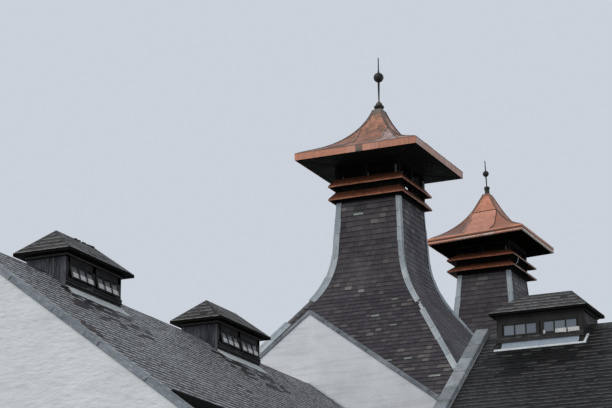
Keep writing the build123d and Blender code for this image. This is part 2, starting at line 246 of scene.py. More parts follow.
# %% Finish helper
def place_group(tree, which, **values):
    return node(tree, "ShaderNodeGroup", node_tree=which, **values).outputs


def colour_layer(tree, below, mask, colour, amount):
    """Lays a colour over what is below where the mask is 1, by at most amount."""
    scaled = node(tree, "ShaderNodeMath", [(0, mask)], [(1, amount)], operation="MULTIPLY", use_clamp=True)
    mix = node(tree, "ShaderNodeMix", [(0, scaled.outputs[0]), (6, below)], [(7, (*colour, 1))],
               data_type="RGBA")
    return mix.outputs[2]


def tone_ramp(tree, stops):
    """Colour of a small piece by its tone, from 0 to 1. stops lists (tone, colour)."""
    tone = node(tree, "ShaderNodeAttribute", attribute_name="tone")
    ramp = node(tree, "ShaderNodeValToRGB", [("Fac", tone.outputs["Fac"])])
    for index, (where, colour) in enumerate(stops):
        elements = ramp.color_ramp.elements
        stop = elements[index] if index < 2 else elements.new(where)
        stop.position = where
        stop.color = (*colour, 1)
    return ramp.outputs["Color"]


def finish(name, base, layers, roughness, grain, metallic=0.0, drift=(1.5, 0.05), streak=(0.12, 2.0),
           course=(0.12, 0.58, 0.80), gloss=0.5):
    """base is a colour or a list of tone stops. layers are (mask name, colour, amount). grain is the
    skin's (size, height, strength, flattening), and roughness runs from the first value to the second."""
    paint = bpy.data.materials.new(name)
    paint.use_nodes = True
    tree = paint.node_tree
    shader = tree.nodes["Principled BSDF"].inputs
    shader["Metallic"].default_value = metallic
    shader["Specular IOR Level"].default_value = gloss
    weather = place_group(tree, drift_group, Patch_size=drift[0], Speck_size=drift[1])
    streaks = place_group(tree, streak_group, Width=streak[0], Length=streak[1])
    courses = place_group(tree, course_group, Tail=course[0], Shade_from=course[1], Shade_to=course[2])
    masks = {"drift": weather["Drift"], "speck": weather["Speck"], "streak": streaks["Streak"],
             "tail": courses["Tail"], "shade": courses["Shade"]}
    if isinstance(base, list):
        colour = tone_ramp(tree, base)
    else:
        colour = node(tree, "ShaderNodeRGB").outputs[0]
        colour.default_value = (*base, 1)
    for mask, layer_colour, amount in layers:
        colour = colour_layer(tree, colour, masks[mask], layer_colour, amount)
    tree.links.new(colour, shader["Base Color"])
    rough = node(tree, "ShaderNodeMapRange", [("Value", weather["Drift"])],
                 To_Min=roughness[0], To_Max=roughness[1])
    tree.links.new(rough.outputs[0], shader["Roughness"])
    size, height, strength, flatten = (*grain, 1.0)[:4]
    skin = place_group(tree, skin_group, Grain_size=size, Height=height, Strength=strength, Flatten=flatten)
    tree.links.new(skin["Normal"], shader["Normal"])
    return paint


# %% [markdown]
# The spires are in plum and purple-brown slates, the long range in greyer ones with pale tails that are
# partly worn and partly painted highlight, and the wing in near-black ones. A few replaced slates are
# pale green-grey: they carry a tone near 1.

# %% Slate finishes
# Tail layers are partly wear and partly painted highlight; shade layers are painted shade
spire_slate = finish(
    "plum_slate",
    [(0.0, (0.014, 0.010, 0.015)), (0.35, (0.030, 0.023, 0.031)), (0.70, (0.056, 0.044, 0.052)),
     (0.90, (0.095, 0.082, 0.080)), (0.96, (0.18, 0.17, 0.155)), (1.0, (0.34, 0.38, 0.35))],
    [("drift", (0.030, 0.026, 0.029), 0.30), ("speck", (0.13, 0.12, 0.12), 0.18),
     ("tail", (0.16, 0.145, 0.145), 0.38), ("shade", (0.003, 0.003, 0.003), 0.97)],
    (0.42, 0.68), (0.035, 0.006, 0.5), drift=(0.9, 0.04), course=(0.12, 0.50, 0.70), gloss=0.25)
range_slate = finish(
    "grey_slate",
    [(0.0, (0.014, 0.013, 0.012)), (0.5, (0.038, 0.037, 0.038)), (0.85, (0.075, 0.074, 0.076)),
     (0.93, (0.12, 0.12, 0.12)), (0.97, (0.085, 0.030, 0.016)), (1.0, (0.17, 0.065, 0.032))],
    [("drift", (0.030, 0.027, 0.024), 0.50), ("speck", (0.26, 0.26, 0.25), 0.20),
     ("tail", (0.80, 0.81, 0.83), 0.92), ("shade", (0.002, 0.002, 0.002), 0.98)],
    (0.36, 0.62), (0.03, 0.006, 0.5), drift=(1.6, 0.05), course=(0.26, 0.44, 0.60), gloss=0.25)
wing_slate = finish(
    "dark_slate",
    [(0.0, (0.005, 0.0045, 0.0045)), (0.6, (0.014, 0.013, 0.0135)), (0.95, (0.036, 0.034, 0.034)),
     (1.0, (0.12, 0.11, 0.10))],
    [("drift", (0.010, 0.009, 0.008), 0.4), ("speck", (0.07, 0.07, 0.06), 0.2),
     ("tail", (0.26, 0.26, 0.255), 0.42), ("shade", (0.002, 0.002, 0.002), 0.95)],
    (0.38, 0.62), (0.03, 0.006, 0.5), drift=(1.2, 0.05), course=(0.20, 0.46, 0.66), gloss=0.12)
lantern_slate = finish(
    "lantern_slate",
    [(0.0, (0.016, 0.014, 0.013)), (0.6, (0.038, 0.034, 0.033)), (1.0, (0.08, 0.072, 0.068))],
    [("drift", (0.026, 0.022, 0.019), 0.5), ("tail", (0.38, 0.37, 0.36), 0.60),
     ("shade", (0.002, 0.002, 0.002), 0.97)],
    (0.40, 0.65), (0.03, 0.005, 0.5), drift=(0.6, 0.04), course=(0.24, 0.44, 0.64), gloss=0.25)
# Dark under-slate felt, also left bare as painted shade in the gutter along the kiln gable
felt_and_gutter_shade = finish(
    "under_slate", (0.012, 0.011, 0.011),
    [("drift", (0.02, 0.018, 0.016), 0.5)],
    (0.8, 0.95), (0.02, 0.002, 0.4))

# %% Lead and stone finishes
sheet_lead = finish(
    "sheet_lead",
    [(0.0, (0.020, 0.018, 0.020)), (0.12, (0.06, 0.06, 0.065)), (0.25, (0.20, 0.23, 0.26)),
     (0.7, (0.30, 0.345, 0.385)), (1.0, (0.46, 0.50, 0.51))],
    [("drift", (0.20, 0.22, 0.23), 0.45), ("speck", (0.44, 0.46, 0.46), 0.30),
     ("streak", (0.14, 0.145, 0.14), 0.30), ("tail", (0.020, 0.020, 0.020), 0.85)],
    (0.45, 0.7), (0.05, 0.004, 0.4), drift=(0.35, 0.03), streak=(0.05, 0.6), course=(0.05, 0.9, 0.99))
coping_stone = finish(
    "coping_lead",
    [(0.0, (0.10, 0.115, 0.135)), (0.7, (0.18, 0.20, 0.225)), (1.0, (0.28, 0.30, 0.32))],
    [("drift", (0.070, 0.078, 0.090), 0.75), ("speck", (0.40, 0.42, 0.42), 0.45),
     ("tail", (0.03, 0.03, 0.03), 0.9)],
    (0.5, 0.8), (0.04, 0.006, 0.5), drift=(0.35, 0.07), course=(0.012, 0.99, 1.0))
skew_stone = finish(
    "pale_skew_stone",
    [(0.0, (0.12, 0.125, 0.13)), (0.6, (0.21, 0.235, 0.255)), (1.0, (0.33, 0.36, 0.38))],
    [("drift", (0.085, 0.088, 0.080), 0.65), ("speck", (0.36, 0.38, 0.37), 0.40),
     ("tail", (0.03, 0.03, 0.03), 0.9)],
    (0.75, 0.95), (0.03, 0.014, 0.9), drift=(0.35, 0.05), course=(0.015, 0.99, 1.0))
print("roof finishes made")

# %% [markdown]
# Old copper goes from orange to brown where rain leaves it, with grey and pink bloom on the sheets and
# dark tarnish along the seams. It is still metal, but its oxide is dull, so it is only part metallic
# and quite rough. The north cap is newer and more even than the south one.

# %% Copper finishes
old_stops = [(0.0, (0.035, 0.017, 0.012)), (0.2, (0.135, 0.062, 0.036)), (0.45, (0.40, 0.150, 0.070)),
             (0.7, (0.52, 0.200, 0.110)), (0.88, (0.62, 0.43, 0.40)), (0.95, (0.23, 0.175, 0.15)),
             (1.0, (0.055, 0.062, 0.048))]
cap_copper = finish(
    "weathered_copper", old_stops,
    [("drift", (0.090, 0.055, 0.040), 0.88), ("speck", (0.40, 0.32, 0.28), 0.50),
     ("streak", (0.080, 0.050, 0.036), 0.55)],
    (0.40, 0.62), (0.12, 0.014, 0.45), metallic=0.3, drift=(0.26, 0.045), streak=(0.08, 0.6))
new_stops = [(0.0, (0.040, 0.020, 0.014)), (0.2, (0.16, 0.070, 0.042)), (0.45, (0.37, 0.132, 0.070)),
             (0.7, (0.56, 0.195, 0.110)), (0.88, (0.52, 0.37, 0.32)), (1.0, (0.30, 0.25, 0.22))]
new_copper = finish(
    "salmon_copper", new_stops,
    [("drift", (0.24, 0.100, 0.060), 0.60), ("speck", (0.66, 0.36, 0.27), 0.35),
     ("streak", (0.20, 0.085, 0.052), 0.30)],
    (0.42, 0.62), (0.12, 0.012, 0.40), metallic=0.3, drift=(0.30, 0.045), streak=(0.07, 0.5))
edge_copper = finish(
    "bright_copper",
    [(0.0, (0.020, 0.012, 0.009)), (0.2, (0.30, 0.13, 0.08)), (0.7, (0.50, 0.190, 0.105)),
     (0.9, (0.50, 0.35, 0.30)), (0.97, (0.62, 0.56, 0.48)), (1.0, (0.045, 0.052, 0.040))],
    [("drift", (0.32, 0.15, 0.10), 0.50), ("speck", (0.62, 0.40, 0.32), 0.25),
     ("streak", (0.22, 0.10, 0.07), 0.45), ("tail", (0.06, 0.03, 0.02), 0.85)],
    (0.38, 0.58), (0.08, 0.008, 0.40), metallic=0.3, drift=(0.3, 0.04), streak=(0.05, 0.5),
    course=(0.025, 0.99, 1.0))
skirt_copper = finish(
    "red_brown_copper",
    [(0.0, (0.030, 0.012, 0.007)), (0.5, (0.10, 0.030, 0.014)), (0.85, (0.22, 0.075, 0.038)),
     (0.95, (0.42, 0.18, 0.11)), (1.0, (0.40, 0.38, 0.34))],
    [("drift", (0.045, 0.018, 0.010), 0.6), ("streak", (0.028, 0.012, 0.008), 0.4),
     ("speck", (0.33, 0.12, 0.065), 0.25)],
    (0.4, 0.6), (0.08, 0.006, 0.4), metallic=0.3, drift=(0.4, 0.06), streak=(0.10, 0.4), gloss=0.2)
skirt_sheet = finish(
    "skirt_sheet",
    [(0.0, (0.020, 0.008, 0.005)), (0.5, (0.055, 0.017, 0.009)), (1.0, (0.13, 0.050, 0.028))],
    [("drift", (0.022, 0.009, 0.006), 0.5), ("tail", (0.30, 0.095, 0.045), 0.75),
     ("speck", (0.36, 0.14, 0.085), 0.25)],
    (0.4, 0.6), (0.08, 0.006, 0.4), metallic=0.3, drift=(0.3, 0.06), course=(0.75, 0.99, 1.0), gloss=0.2)

# %% Timber, iron and glass finishes
# Near-black boards: partly the tar and partly painted shade, under the caps and the lantern eaves
tarred_and_painted_shade_board = finish(
    "tarred_and_painted_shade_board",
    [(0.0, (0.002, 0.002, 0.0015)), (1.0, (0.006, 0.006, 0.004))],
    [("drift", (0.004, 0.005, 0.003), 0.5)],
    (0.75, 0.95), (0.02, 0.003, 0.4), drift=(0.5, 0.03), gloss=0.08)
# The north soffit is darker still, as painted shade under its cap
green_tarred_and_painted_shade_board = finish(
    "green_tar_and_painted_shade",
    [(0.0, (0.0015, 0.002, 0.0008)), (1.0, (0.003, 0.004, 0.0015))],
    [("drift", (0.002, 0.003, 0.001), 0.5)],
    (0.8, 0.95), (0.02, 0.003, 0.4), drift=(0.5, 0.03), gloss=0.0)
black_board = finish(
    "black_board",
    [(0.0, (0.006, 0.006, 0.006)), (0.5, (0.022, 0.020, 0.020)), (0.85, (0.065, 0.060, 0.058)),
     (1.0, (0.13, 0.125, 0.12))],
    [("drift", (0.012, 0.011, 0.010), 0.4), ("speck", (0.07, 0.06, 0.05), 0.15)],
    (0.5, 0.75), (0.012, 0.003, 0.6), drift=(0.4, 0.02), gloss=0.2)
brown_board = finish(
    "brown_board", (0.024, 0.021, 0.018),
    [("drift", (0.010, 0.009, 0.008), 0.6), ("speck", (0.09, 0.08, 0.06), 0.25)],
    (0.5, 0.75), (0.012, 0.003, 0.6), drift=(0.25, 0.02), gloss=0.2)
# Weathered boards for the long lanterns' ends, also used for the painted glints on the vent posts
weather_board_and_glints = finish(
    "weathered_board_and_painted_glints",
    [(0.0, (0.016, 0.016, 0.021)), (0.7, (0.036, 0.037, 0.048)), (1.0, (0.085, 0.088, 0.100))],
    [("drift", (0.018, 0.017, 0.018), 0.4), ("streak", (0.19, 0.195, 0.21), 0.60)],
    (0.5, 0.75), (0.012, 0.003, 0.6), drift=(0.4, 0.02), streak=(0.020, 0.30), gloss=0.2)
# Peeling white paint, also used for the painted sky light behind two wing panes
peeling_paint_and_sky_patches = finish(
    "peeling_white_and_painted_sky", (0.62, 0.62, 0.60),
    [("drift", (0.30, 0.29, 0.28), 0.6)],
    (0.5, 0.8), (0.01, 0.003, 0.6), drift=(0.1, 0.02))
wing_apron = finish(
    "blue_lead",
    [(0.0, (0.26, 0.31, 0.37)), (0.3, (0.31, 0.36, 0.42)), (0.9, (0.62, 0.64, 0.64)),
     (1.0, (0.66, 0.68, 0.67))],
    [("drift", (0.15, 0.18, 0.22), 0.4), ("streak", (0.34, 0.38, 0.42), 0.35)],
    (0.45, 0.7), (0.03, 0.004, 0.5), drift=(0.2, 0.03), streak=(0.05, 0.3))
pale_apron = finish(
    "pale_lead",
    [(0.0, (0.32, 0.35, 0.37)), (0.6, (0.52, 0.57, 0.56)), (1.0, (0.66, 0.70, 0.68))],
    [("drift", (0.30, 0.34, 0.33), 0.5), ("streak", (0.56, 0.60, 0.58), 0.35),
     ("speck", (0.20, 0.22, 0.22), 0.3)],
    (0.5, 0.75), (0.03, 0.004, 0.5), drift=(0.3, 0.03), streak=(0.04, 0.3))
moss = finish(
    "moss",
    [(0.0, (0.030, 0.032, 0.016)), (1.0, (0.13, 0.13, 0.09))],
    [("speck", (0.25, 0.25, 0.20), 0.3)],
    (0.9, 1.0), (0.01, 0.010, 1.0), drift=(0.05, 0.01), gloss=0.1)
# Lantern panes are opaque: their dark, blue-grey and pale tones are painted reflection
pane_painted_reflection = finish(
    "lantern_pane",
    [(0.0, (0.008, 0.008, 0.009)), (0.4, (0.135, 0.155, 0.185)), (0.7, (0.24, 0.26, 0.27)),
     (0.85, (0.56, 0.57, 0.55)), (1.0, (0.80, 0.80, 0.80))],
    [("drift", (0.10, 0.11, 0.12), 0.15)],
    (0.10, 0.25), (0.25, 0.008, 0.25), drift=(0.3, 0.02))
painted_iron = finish(
    "painted_iron",
    [(0.0, (0.010, 0.010, 0.010)), (0.5, (0.045, 0.035, 0.028)), (0.75, (0.020, 0.028, 0.022)),
     (1.0, (0.075, 0.055, 0.042))],
    [("drift", (0.045, 0.035, 0.028), 0.35)],
    (0.4, 0.65), (0.01, 0.002, 0.5), metallic=0.4, drift=(0.1, 0.02))
print("metal and timber finishes made")

# %% [markdown]
# The walls are rubble under many coats of white paint. The stones still show through as low humps in
# rough courses, and rain has left grey and rusty streaks. The kiln gable is rendered smoother.

# %% Wall finishes
white_rubble = finish(
    "painted_rubble", (0.66, 0.675, 0.675),
    [("drift", (0.52, 0.535, 0.53), 0.45), ("streak", (0.40, 0.40, 0.385), 0.35),
     ("speck", (0.38, 0.38, 0.37), 0.14)],
    (0.7, 0.9), (0.16, 0.045, 0.75, 2.6), drift=(0.8, 0.035), streak=(0.30, 0.07))
white_render = finish(
    "old_render", (0.76, 0.775, 0.80),
    [("drift", (0.58, 0.59, 0.60), 0.6), ("streak", (0.40, 0.39, 0.385), 0.35),
     ("speck", (0.38, 0.37, 0.36), 0.2)],
    (0.75, 0.92), (0.05, 0.010, 0.6, 3.0), drift=(0.7, 0.06), streak=(0.9, 0.10))
window_paint = finish(
    "window_paint", (0.50, 0.51, 0.50),
    [("drift", (0.36, 0.36, 0.35), 0.5)],
    (0.5, 0.7), (0.01, 0.002, 0.4), drift=(0.2, 0.02))
sill_stone = finish(
    "sill_stone", (0.20, 0.20, 0.195),
    [("drift", (0.12, 0.12, 0.11), 0.6), ("speck", (0.3, 0.3, 0.28), 0.3)],
    (0.75, 0.9), (0.02, 0.006, 0.7), drift=(0.25, 0.03))

pane_glass = bpy.data.materials.new("old_panes")
pane_glass.use_nodes = True
glass_shader = pane_glass.node_tree.nodes["Principled BSDF"].inputs
glass_shader["Base Color"].default_value = (0.55, 0.62, 0.68, 1)
glass_shader["Roughness"].default_value = 0.06
glass_shader["Transmission Weight"].default_value = 0.75
glass_shader["Metallic"].default_value = 0.0
ripple = place_group(pane_glass.node_tree, skin_group, Grain_size=0.25, Height=0.01, Strength=0.25)
pane_glass.node_tree.links.new(ripple["Normal"], glass_shader["Normal"])

# %% [markdown]
# Slates, stones, boards and bars are all small closed blocks. A pile collects them as plain lists and
# turns them into one mesh at the end, because thousands of separate objects would be slow. Each block
# carries one tone on its faces, which the finishes read.

# %% The pile that collects small solids
class Pile:
    def __init__(self):
        self.points, self.faces, self.tones, self.rises = [], [], [], []

    def add(self, points, faces, tone, rises=None):
        start = len(self.points)
        self.points.extend(points)
        self.rises.extend(rises or [0.5] * len(points))
        self.faces.extend(tuple(start + corner for corner in face) for face in faces)
        self.tones.extend(tone if isinstance(tone, list) else [tone] * len(faces))

    def tube(self, rings, tone, rises=None):
        """A closed solid through rings of points that all go the same way round."""
        count = len(rings[0])
        faces = [tuple(range(count))[::-1]]
        for ring in range(len(rings) - 1):
            low, high = ring * count, (ring + 1) * count
            faces += [(low + i, low + (i + 1) % count, high + (i + 1) % count, high + i)
                      for i in range(count)]
        faces.append(tuple(range(len(rings) * count - count, len(rings) * count)))
        middle = sum((Vector(p) for p in rings[0]), Vector()) / count
        onward = sum((Vector(p) for p in rings[1]), Vector()) / count - middle
        turn = sum(((Vector(rings[0][i]) - middle).cross(Vector(rings[0][(i + 1) % count]) - middle)
                    for i in range(count)), Vector())
        if turn.dot(onward) < 0:
            faces = [face[::-1] for face in faces]
        self.add([p for ring in rings for p in ring], faces, tone, rises)

    def beam(self, start, end, side, rise, tone):
        """A straight bar: side and rise are the half width and half height as vectors."""
        self.tube([[p - side - rise, p + side - rise, p + side + rise, p - side + rise]
                   for p in (start, end)], tone)

    def move(self, matrix):
        self.points = [matrix @ Vector(point) for point in self.points]

    def piece(self, name, material, slot, replaces=(), bevel=0.0, smooth_below=0.0):
        """Makes the object. Faces that meet at less than smooth_below degrees are shaded as one."""
        mesh = bpy.data.meshes.new(name)
        mesh.from_pydata([tuple(p) for p in self.points], [], self.faces)
        tone = mesh.attributes.new("tone", "FLOAT", "FACE")
        tone.data.foreach_set("value", np.array(self.tones, dtype=np.float32))
        rise = mesh.attributes.new("rise", "FLOAT", "POINT")
        rise.data.foreach_set("value", np.array(self.rises, dtype=np.float32))
        mesh.materials.append(material)
        if smooth_below:
            mesh.polygons.foreach_set("use_smooth", [True] * len(mesh.polygons))
            mesh.set_sharp_from_angle(angle=math.radians(smooth_below))
        made = bpy.data.objects.new(name, mesh)
        bpy.context.collection.objects.link(made)
        if bevel:
            rounding = made.modifiers.new("worn_edges", "BEVEL")
            rounding.width = bevel
            rounding.segments = 1
            rounding.limit_method = "ANGLE"
        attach(made, "root")
        if replaces:
            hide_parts(*replaces)
        print(f"{name}: {len(self.faces)} faces")
        return made


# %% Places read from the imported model
def low(name):
    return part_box(name)[0]


def high(name):
    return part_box(name)[1]


range_ridge = high("long_range_east_roof").z
range_east_edge = high("long_range_east_roof").x
range_south_end = low("long_range_east_roof").y
range_north_end = high("long_range_east_roof").y
kiln_ridge = high("kiln_east_roof").z
kiln_roof_south, kiln_roof_north = low("kiln_east_roof").y, high("kiln_east_roof").y
half_width = high("kiln_east_wall").x
wing_ridge = high("wing_north_roof").z
wing_roof_west, wing_roof_east = low("wing_north_roof").x, high("wing_north_roof").x
wing_axis = low("wing_north_roof").y
wing_half = (high("wing_east_gable").y - low("wing_east_gable").y) / 2
range_slope, kiln_slope, wing_slope = 0.745, 0.735, 0.797
print("ridges:", round(range_ridge, 2), round(kiln_ridge, 2), round(wing_ridge, 2))

# %% [markdown]
# A roof face is a rule that gives a point and the outward normal for u metres along a course and s
# metres down the slope, with the face's span at each s. A flat face and a flared spire then share one
# slating function. Each slate rests its tail on the course below, so every course throws a small
# shadow, which is what draws the lines across the roofs in the photograph.

# %% Roof faces
def flat_face(top_left, top_right, bottom_left, bottom_right):
    """Left and right as seen from outside, looking at the slope."""
    top_mid = (top_left + top_right) / 2
    bottom_mid = (bottom_left + bottom_right) / 2
    along = (bottom_right - bottom_left).normalized()
    down = (bottom_mid - top_mid) - along * (bottom_mid - top_mid).dot(along)
    total = down.length
    down.normalize()
    normal = along.cross(-down).normalized()
    lefts = [(p - top_mid).dot(along) for p in (top_left, bottom_left)]
    rights = [(p - top_mid).dot(along) for p in (top_right, bottom_right)]

    def surface(u, s):
        return top_mid + along * u + down * s, normal

    def span(s):
        part = s / total
        return lefts[0] + (lefts[1] - lefts[0]) * part, rights[0] + (rights[1] - rights[0]) * part

    return surface, span, total


def lay_slates(pile, face, gauge, width, rng, keep=None, tone_at=None, thickness=0.008, top=0.05):
    """Slates from the eaves up. keep(point) says whether a slate is laid there."""
    surface, span, total = face
    joint, lap, damp, odd = 0.004, 0.035, 0.04, 0.96
    tail = total
    while tail > top:
        head = max(tail - gauge - lap, 0.01)
        left, right = span(tail)
        left_head, right_head = span(head)
        edge = left - rng.uniform(0, width)
        while edge < right:
            wide = width * rng.uniform(0.72, 1.25)
            a, b = max(edge + joint / 2, left), min(edge + wide - joint / 2, right)
            edge += wide
            ah, bh = max(a, left_head), min(b, right_head)
            if b - a < 0.03 or bh - ah < -0.01:
                continue
            bh = max(bh, ah + 0.005)
            middle = surface((a + b) / 2, tail - gauge / 2)[0]
            if keep and not keep(middle):
                continue
            thick = thickness * rng.uniform(0.75, 1.35)
            drops = [rng.uniform(-0.006, 0.006) for _ in range(2)]
            quad = []
            for u, s, lift in ((ah, head, 0.002), (bh, head, 0.002), (b, tail + drops[0], thickness * 1.25),
                               (a, tail + drops[1], thickness * 1.25)):
                point, normal = surface(u, s)
                quad.append((point + normal * lift, normal))
            low_ring = [p for p, n in quad]
            high_ring = [p + n * thick for p, n in quad]
            tone = min(max(rng.gauss(0.42, 0.2), 0.0), 0.90)
            if tone_at:
                tone = tone_at(middle, tone, rng)
            # Damp and odd slates get no pale tail, which is partly wear and partly painted highlight
            tail_end = 0.45 if tone < damp or tone > odd else 0.0
            pile.tube([low_ring, high_ring], tone, [1.0, 1.0, tail_end, tail_end] * 2)
        tail -= gauge

# %% [markdown]
# The long range and the wing are plain slopes, and one function slates them all. Slates are left out
# where a lantern stands through the roof, and a narrow gutter stays open along the kiln gable, where
# its dark felt stands in as painted shade.
# Drips from the lanterns have stained the slates below them, and nails have left rust in three spots.

# %% What shows on single slates
def inside(point, box, spare=0.0):
    return (box[0].x - spare < point.x < box[1].x + spare) and (box[0].y - spare < point.y < box[1].y + spare)


lantern_names = ["long_range_lantern_1", "long_range_lantern_2", "wing_lantern_1", "wing_lantern_2"]
lantern_walls = [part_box(f"{name}_walls") for name in lantern_names]
gauge, range_gauge, slate_width = 0.155, 0.176, 0.27
# The dark felt left bare in the gutter along the kiln gable is painted shade
run_in, gutter = 0.02, 0.07
# Stains are (middle, half width east to west, half width south to north)
stains = [(Vector((1.05, (box[0].y + box[1].y) / 2 - 0.55, 0)), 0.85, 1.55) for box in lantern_walls[:2]]
stains += [(Vector(((box[0].x + box[1].x) / 2, wing_axis - 1.05, 0)), 1.25, 0.62)
           for box in lantern_walls[2:]]
rusty_places = [(Vector((2.54, -15.45, 9.68)), 0.30), (Vector((2.56, -9.28, 9.67)), 0.20),
                (Vector((1.27, -13.90, 10.63)), 0.18)]


def clear_of_lanterns(point):
    return not any(inside(point, box, -0.02) for box in lantern_walls)


def stained(point, rng):
    """Whether a slate is among the ones that drips from a lantern keep dark."""
    for place, wide, deep in stains:
        away = Vector(((point.x - place.x) / wide, (point.y - place.y) / deep))
        if away.length < 0.75 + 0.25 * rng.random():
            return True
    return False


def range_tone(point, tone, rng):
    """Slates close to a rusty nail are brown, and the ones round them a little."""
    if stained(point, rng):
        return rng.choice((0.01, 0.03, 0.20, 0.30))
    for place, reach in rusty_places:
        away = (point - place).length / reach
        if away < 1:
            return 1.0 if away < 0.6 else 0.97
    return 0.42 + (tone - 0.42) * 0.6


def wing_tone(point, tone, rng):
    return rng.choice((0.0, 0.02, 0.03, 0.1)) if stained(point, rng) else tone


# %% Slates of the long range and the wing
def slate_slope(name, material, place, ends, ridge, slope, reach, side, seed, course=gauge, **how):
    """Slates a plain slope that runs out from a ridge by reach. place turns (along, out, height) into a
    point, and ends are the left and right end of the slope on side 1."""
    top = [place(end, 0.0, ridge) for end in ends[::side]]
    foot = [place(end, side * reach, ridge - slope * reach) for end in ends[::side]]
    pile = Pile()
    lay_slates(pile, flat_face(*top, *foot), course, slate_width, random.Random(seed + side), **how)
    pile.piece(name, material, "slate")


def beside_long_ridge(y, x, z):
    return Vector((x, y, z))


def beside_wing_ridge(x, y, z):
    return Vector((x, wing_axis + y, z))


# The wing stands against the long range's eaves here, so no slates are laid
wing_shadow = (Vector((half_width, wing_axis - wing_half - 0.21, 0)),
               Vector((50, wing_axis + wing_half + 0.21, 0)))
for side, label in ((1, "east"), (-1, "west")):
    slate_slope(f"long_range_{label}_slates", range_slate, beside_long_ridge,
                (range_south_end, range_north_end - gutter), range_ridge, range_slope,
                range_east_edge - run_in, side, 11, range_gauge, tone_at=range_tone, thickness=0.009,
                keep=lambda p: clear_of_lanterns(p) and not inside(p, wing_shadow))
wing_reach = wing_half + (high("wing_north_roof").y - wing_axis - wing_half) - run_in
for side, label in ((1, "north"), (-1, "south")):
    slate_slope(f"wing_{label}_slates", wing_slate, beside_wing_ridge, (wing_roof_east, wing_roof_west),
                wing_ridge, wing_slope, wing_reach, side, 21, tone_at=wing_tone, keep=clear_of_lanterns)

# %% [markdown]
# A kiln spire is a square chimney that flares: a nearly upright neck, a long hollow curve and a steep
# skirt that dies into the main roof. Its section is three stretches, walked here by their length so
# the slate courses stay the same height all the way down.

# %% A bent section and the walk down it
def bent_section(start, bend, foot, angles, radius, down, turns):
    """A straight stretch, a curve round the bend and another straight one, as points with their slope
    angles, and the running lengths. down is 1 for (half width, drop) and -1 for (half width, rise)."""
    first, last = angles
    setback = radius * math.tan((first - last) / 2)
    into = bend - setback * Vector((math.cos(first), down * math.sin(first)))
    centre = into + radius * Vector((math.sin(first), -down * math.cos(first)))
    points = [(start, first), (into, first)]
    for turn in range(1, turns + 1):
        angle = first + (last - first) * turn / turns
        points.append((centre - radius * Vector((math.sin(angle), -down * math.cos(angle))), angle))
    points.append((foot, last))
    lengths = [0.0]
    for (before, _), (after, _) in zip(points, points[1:]):
        lengths.append(lengths[-1] + (after - before).length)
    return points, lengths


def walk_section(section, s):
    """Half width, drop or rise, and slope angle at s metres down a section."""
    points, lengths = section
    s = min(max(s, 0.0), lengths[-1])
    index = next(i for i in range(1, len(lengths)) if s <= lengths[i] or i == len(lengths) - 1)
    part = (s - lengths[index - 1]) / (lengths[index] - lengths[index - 1])
    (before, start_angle), (after, end_angle) = points[index - 1], points[index]
    spot = before + (after - before) * part
    return spot.x, spot.y, start_angle + (end_angle - start_angle) * part


def leaning(out, angle):
    """Outward normal of a slope that faces out."""
    return out * math.sin(angle) + up * math.cos(angle)


# %% The flared spires
cap_level = low("south_kiln_cap_eaves").z
neck_tops, neck_halves = (1.160, 1.010), (0.968, 0.895)
knee_outs, knee_drop, knee_radius = (0.112, 0.200), 3.469, 2.97
skirt_slope, spire_foot = 1.40, 5.60
kiln_names = ("south_kiln", "north_kiln")
kiln_spots = [(low(f"{name}_vent_skirts") + high(f"{name}_vent_skirts")) / 2 for name in kiln_names]
kiln_spots = [Vector((spot.x, spot.y, 0)) for spot in kiln_spots]
kiln_centres = [spot.y for spot in kiln_spots]
flush_run = 2.6                          # the lead lies flush with the neck over this length
lead_wings = (0.105, 0.13, 0.13, 0.18)   # at the south-east, north-east, north-west and south-west hip
outward = [Vector((0, -1, 0)), Vector((1, 0, 0)), Vector((0, 1, 0)), Vector((-1, 0, 0))]
sides = ("south", "east", "north", "west")


def spire_section(kiln):
    neck, top = neck_halves[kiln], neck_tops[kiln]
    batter = math.atan2(knee_drop - top, knee_outs[kiln])
    skirt = math.atan(skirt_slope)
    knee = Vector((neck + knee_outs[kiln], knee_drop))
    foot = Vector((spire_foot, knee_drop + skirt_slope * (spire_foot - knee.x)))
    turns = max(8, int(knee_radius * (batter - skirt) / 0.05))
    return bent_section(Vector((neck, top)), knee, foot, (batter, skirt), knee_radius, 1, turns)


sections = [spire_section(kiln) for kiln in range(2)]


def spire_face(kiln, turn):
    """One side of a spire. Its slates stop a little way under the lead of its two hips."""
    section, out = sections[kiln], outward[turn]
    under = [lead_wings[hip] - 0.03 for hip in ((turn + 3) % 4, turn)]
    along = up.cross(out)

    def surface(u, s):
        half, drop, angle = walk_section(section, s)
        point = kiln_spots[kiln] + out * half + along * u + up * (cap_level - drop)
        return point, leaning(out, angle)

    def span(s):
        half, part = walk_section(section, s)[0], max(1 - s / flush_run, 0.0)
        return under[0] * part - half, half - under[1] * part

    return surface, span, section[1][-1]


def over_main_roof(point, spare=0.0):
    return point.z > kiln_ridge - kiln_slope * abs(point.x) + spare


def spire_half_at(kiln, z):
    """Half width of the spire at height z, by halving the walk down its section."""
    near, far = 0.0, sections[kiln][1][-1]
    for _ in range(24):
        middle = (near + far) / 2
        if cap_level - walk_section(sections[kiln], middle)[1] > z:
            near = middle
        else:
            far = middle
    return walk_section(sections[kiln], near)[0]


valley = sum(kiln_centres) / 2
spans = ((kiln_roof_south, valley), (valley, kiln_roof_north))
print("spire section length:", round(sections[0][1][-1], 2))

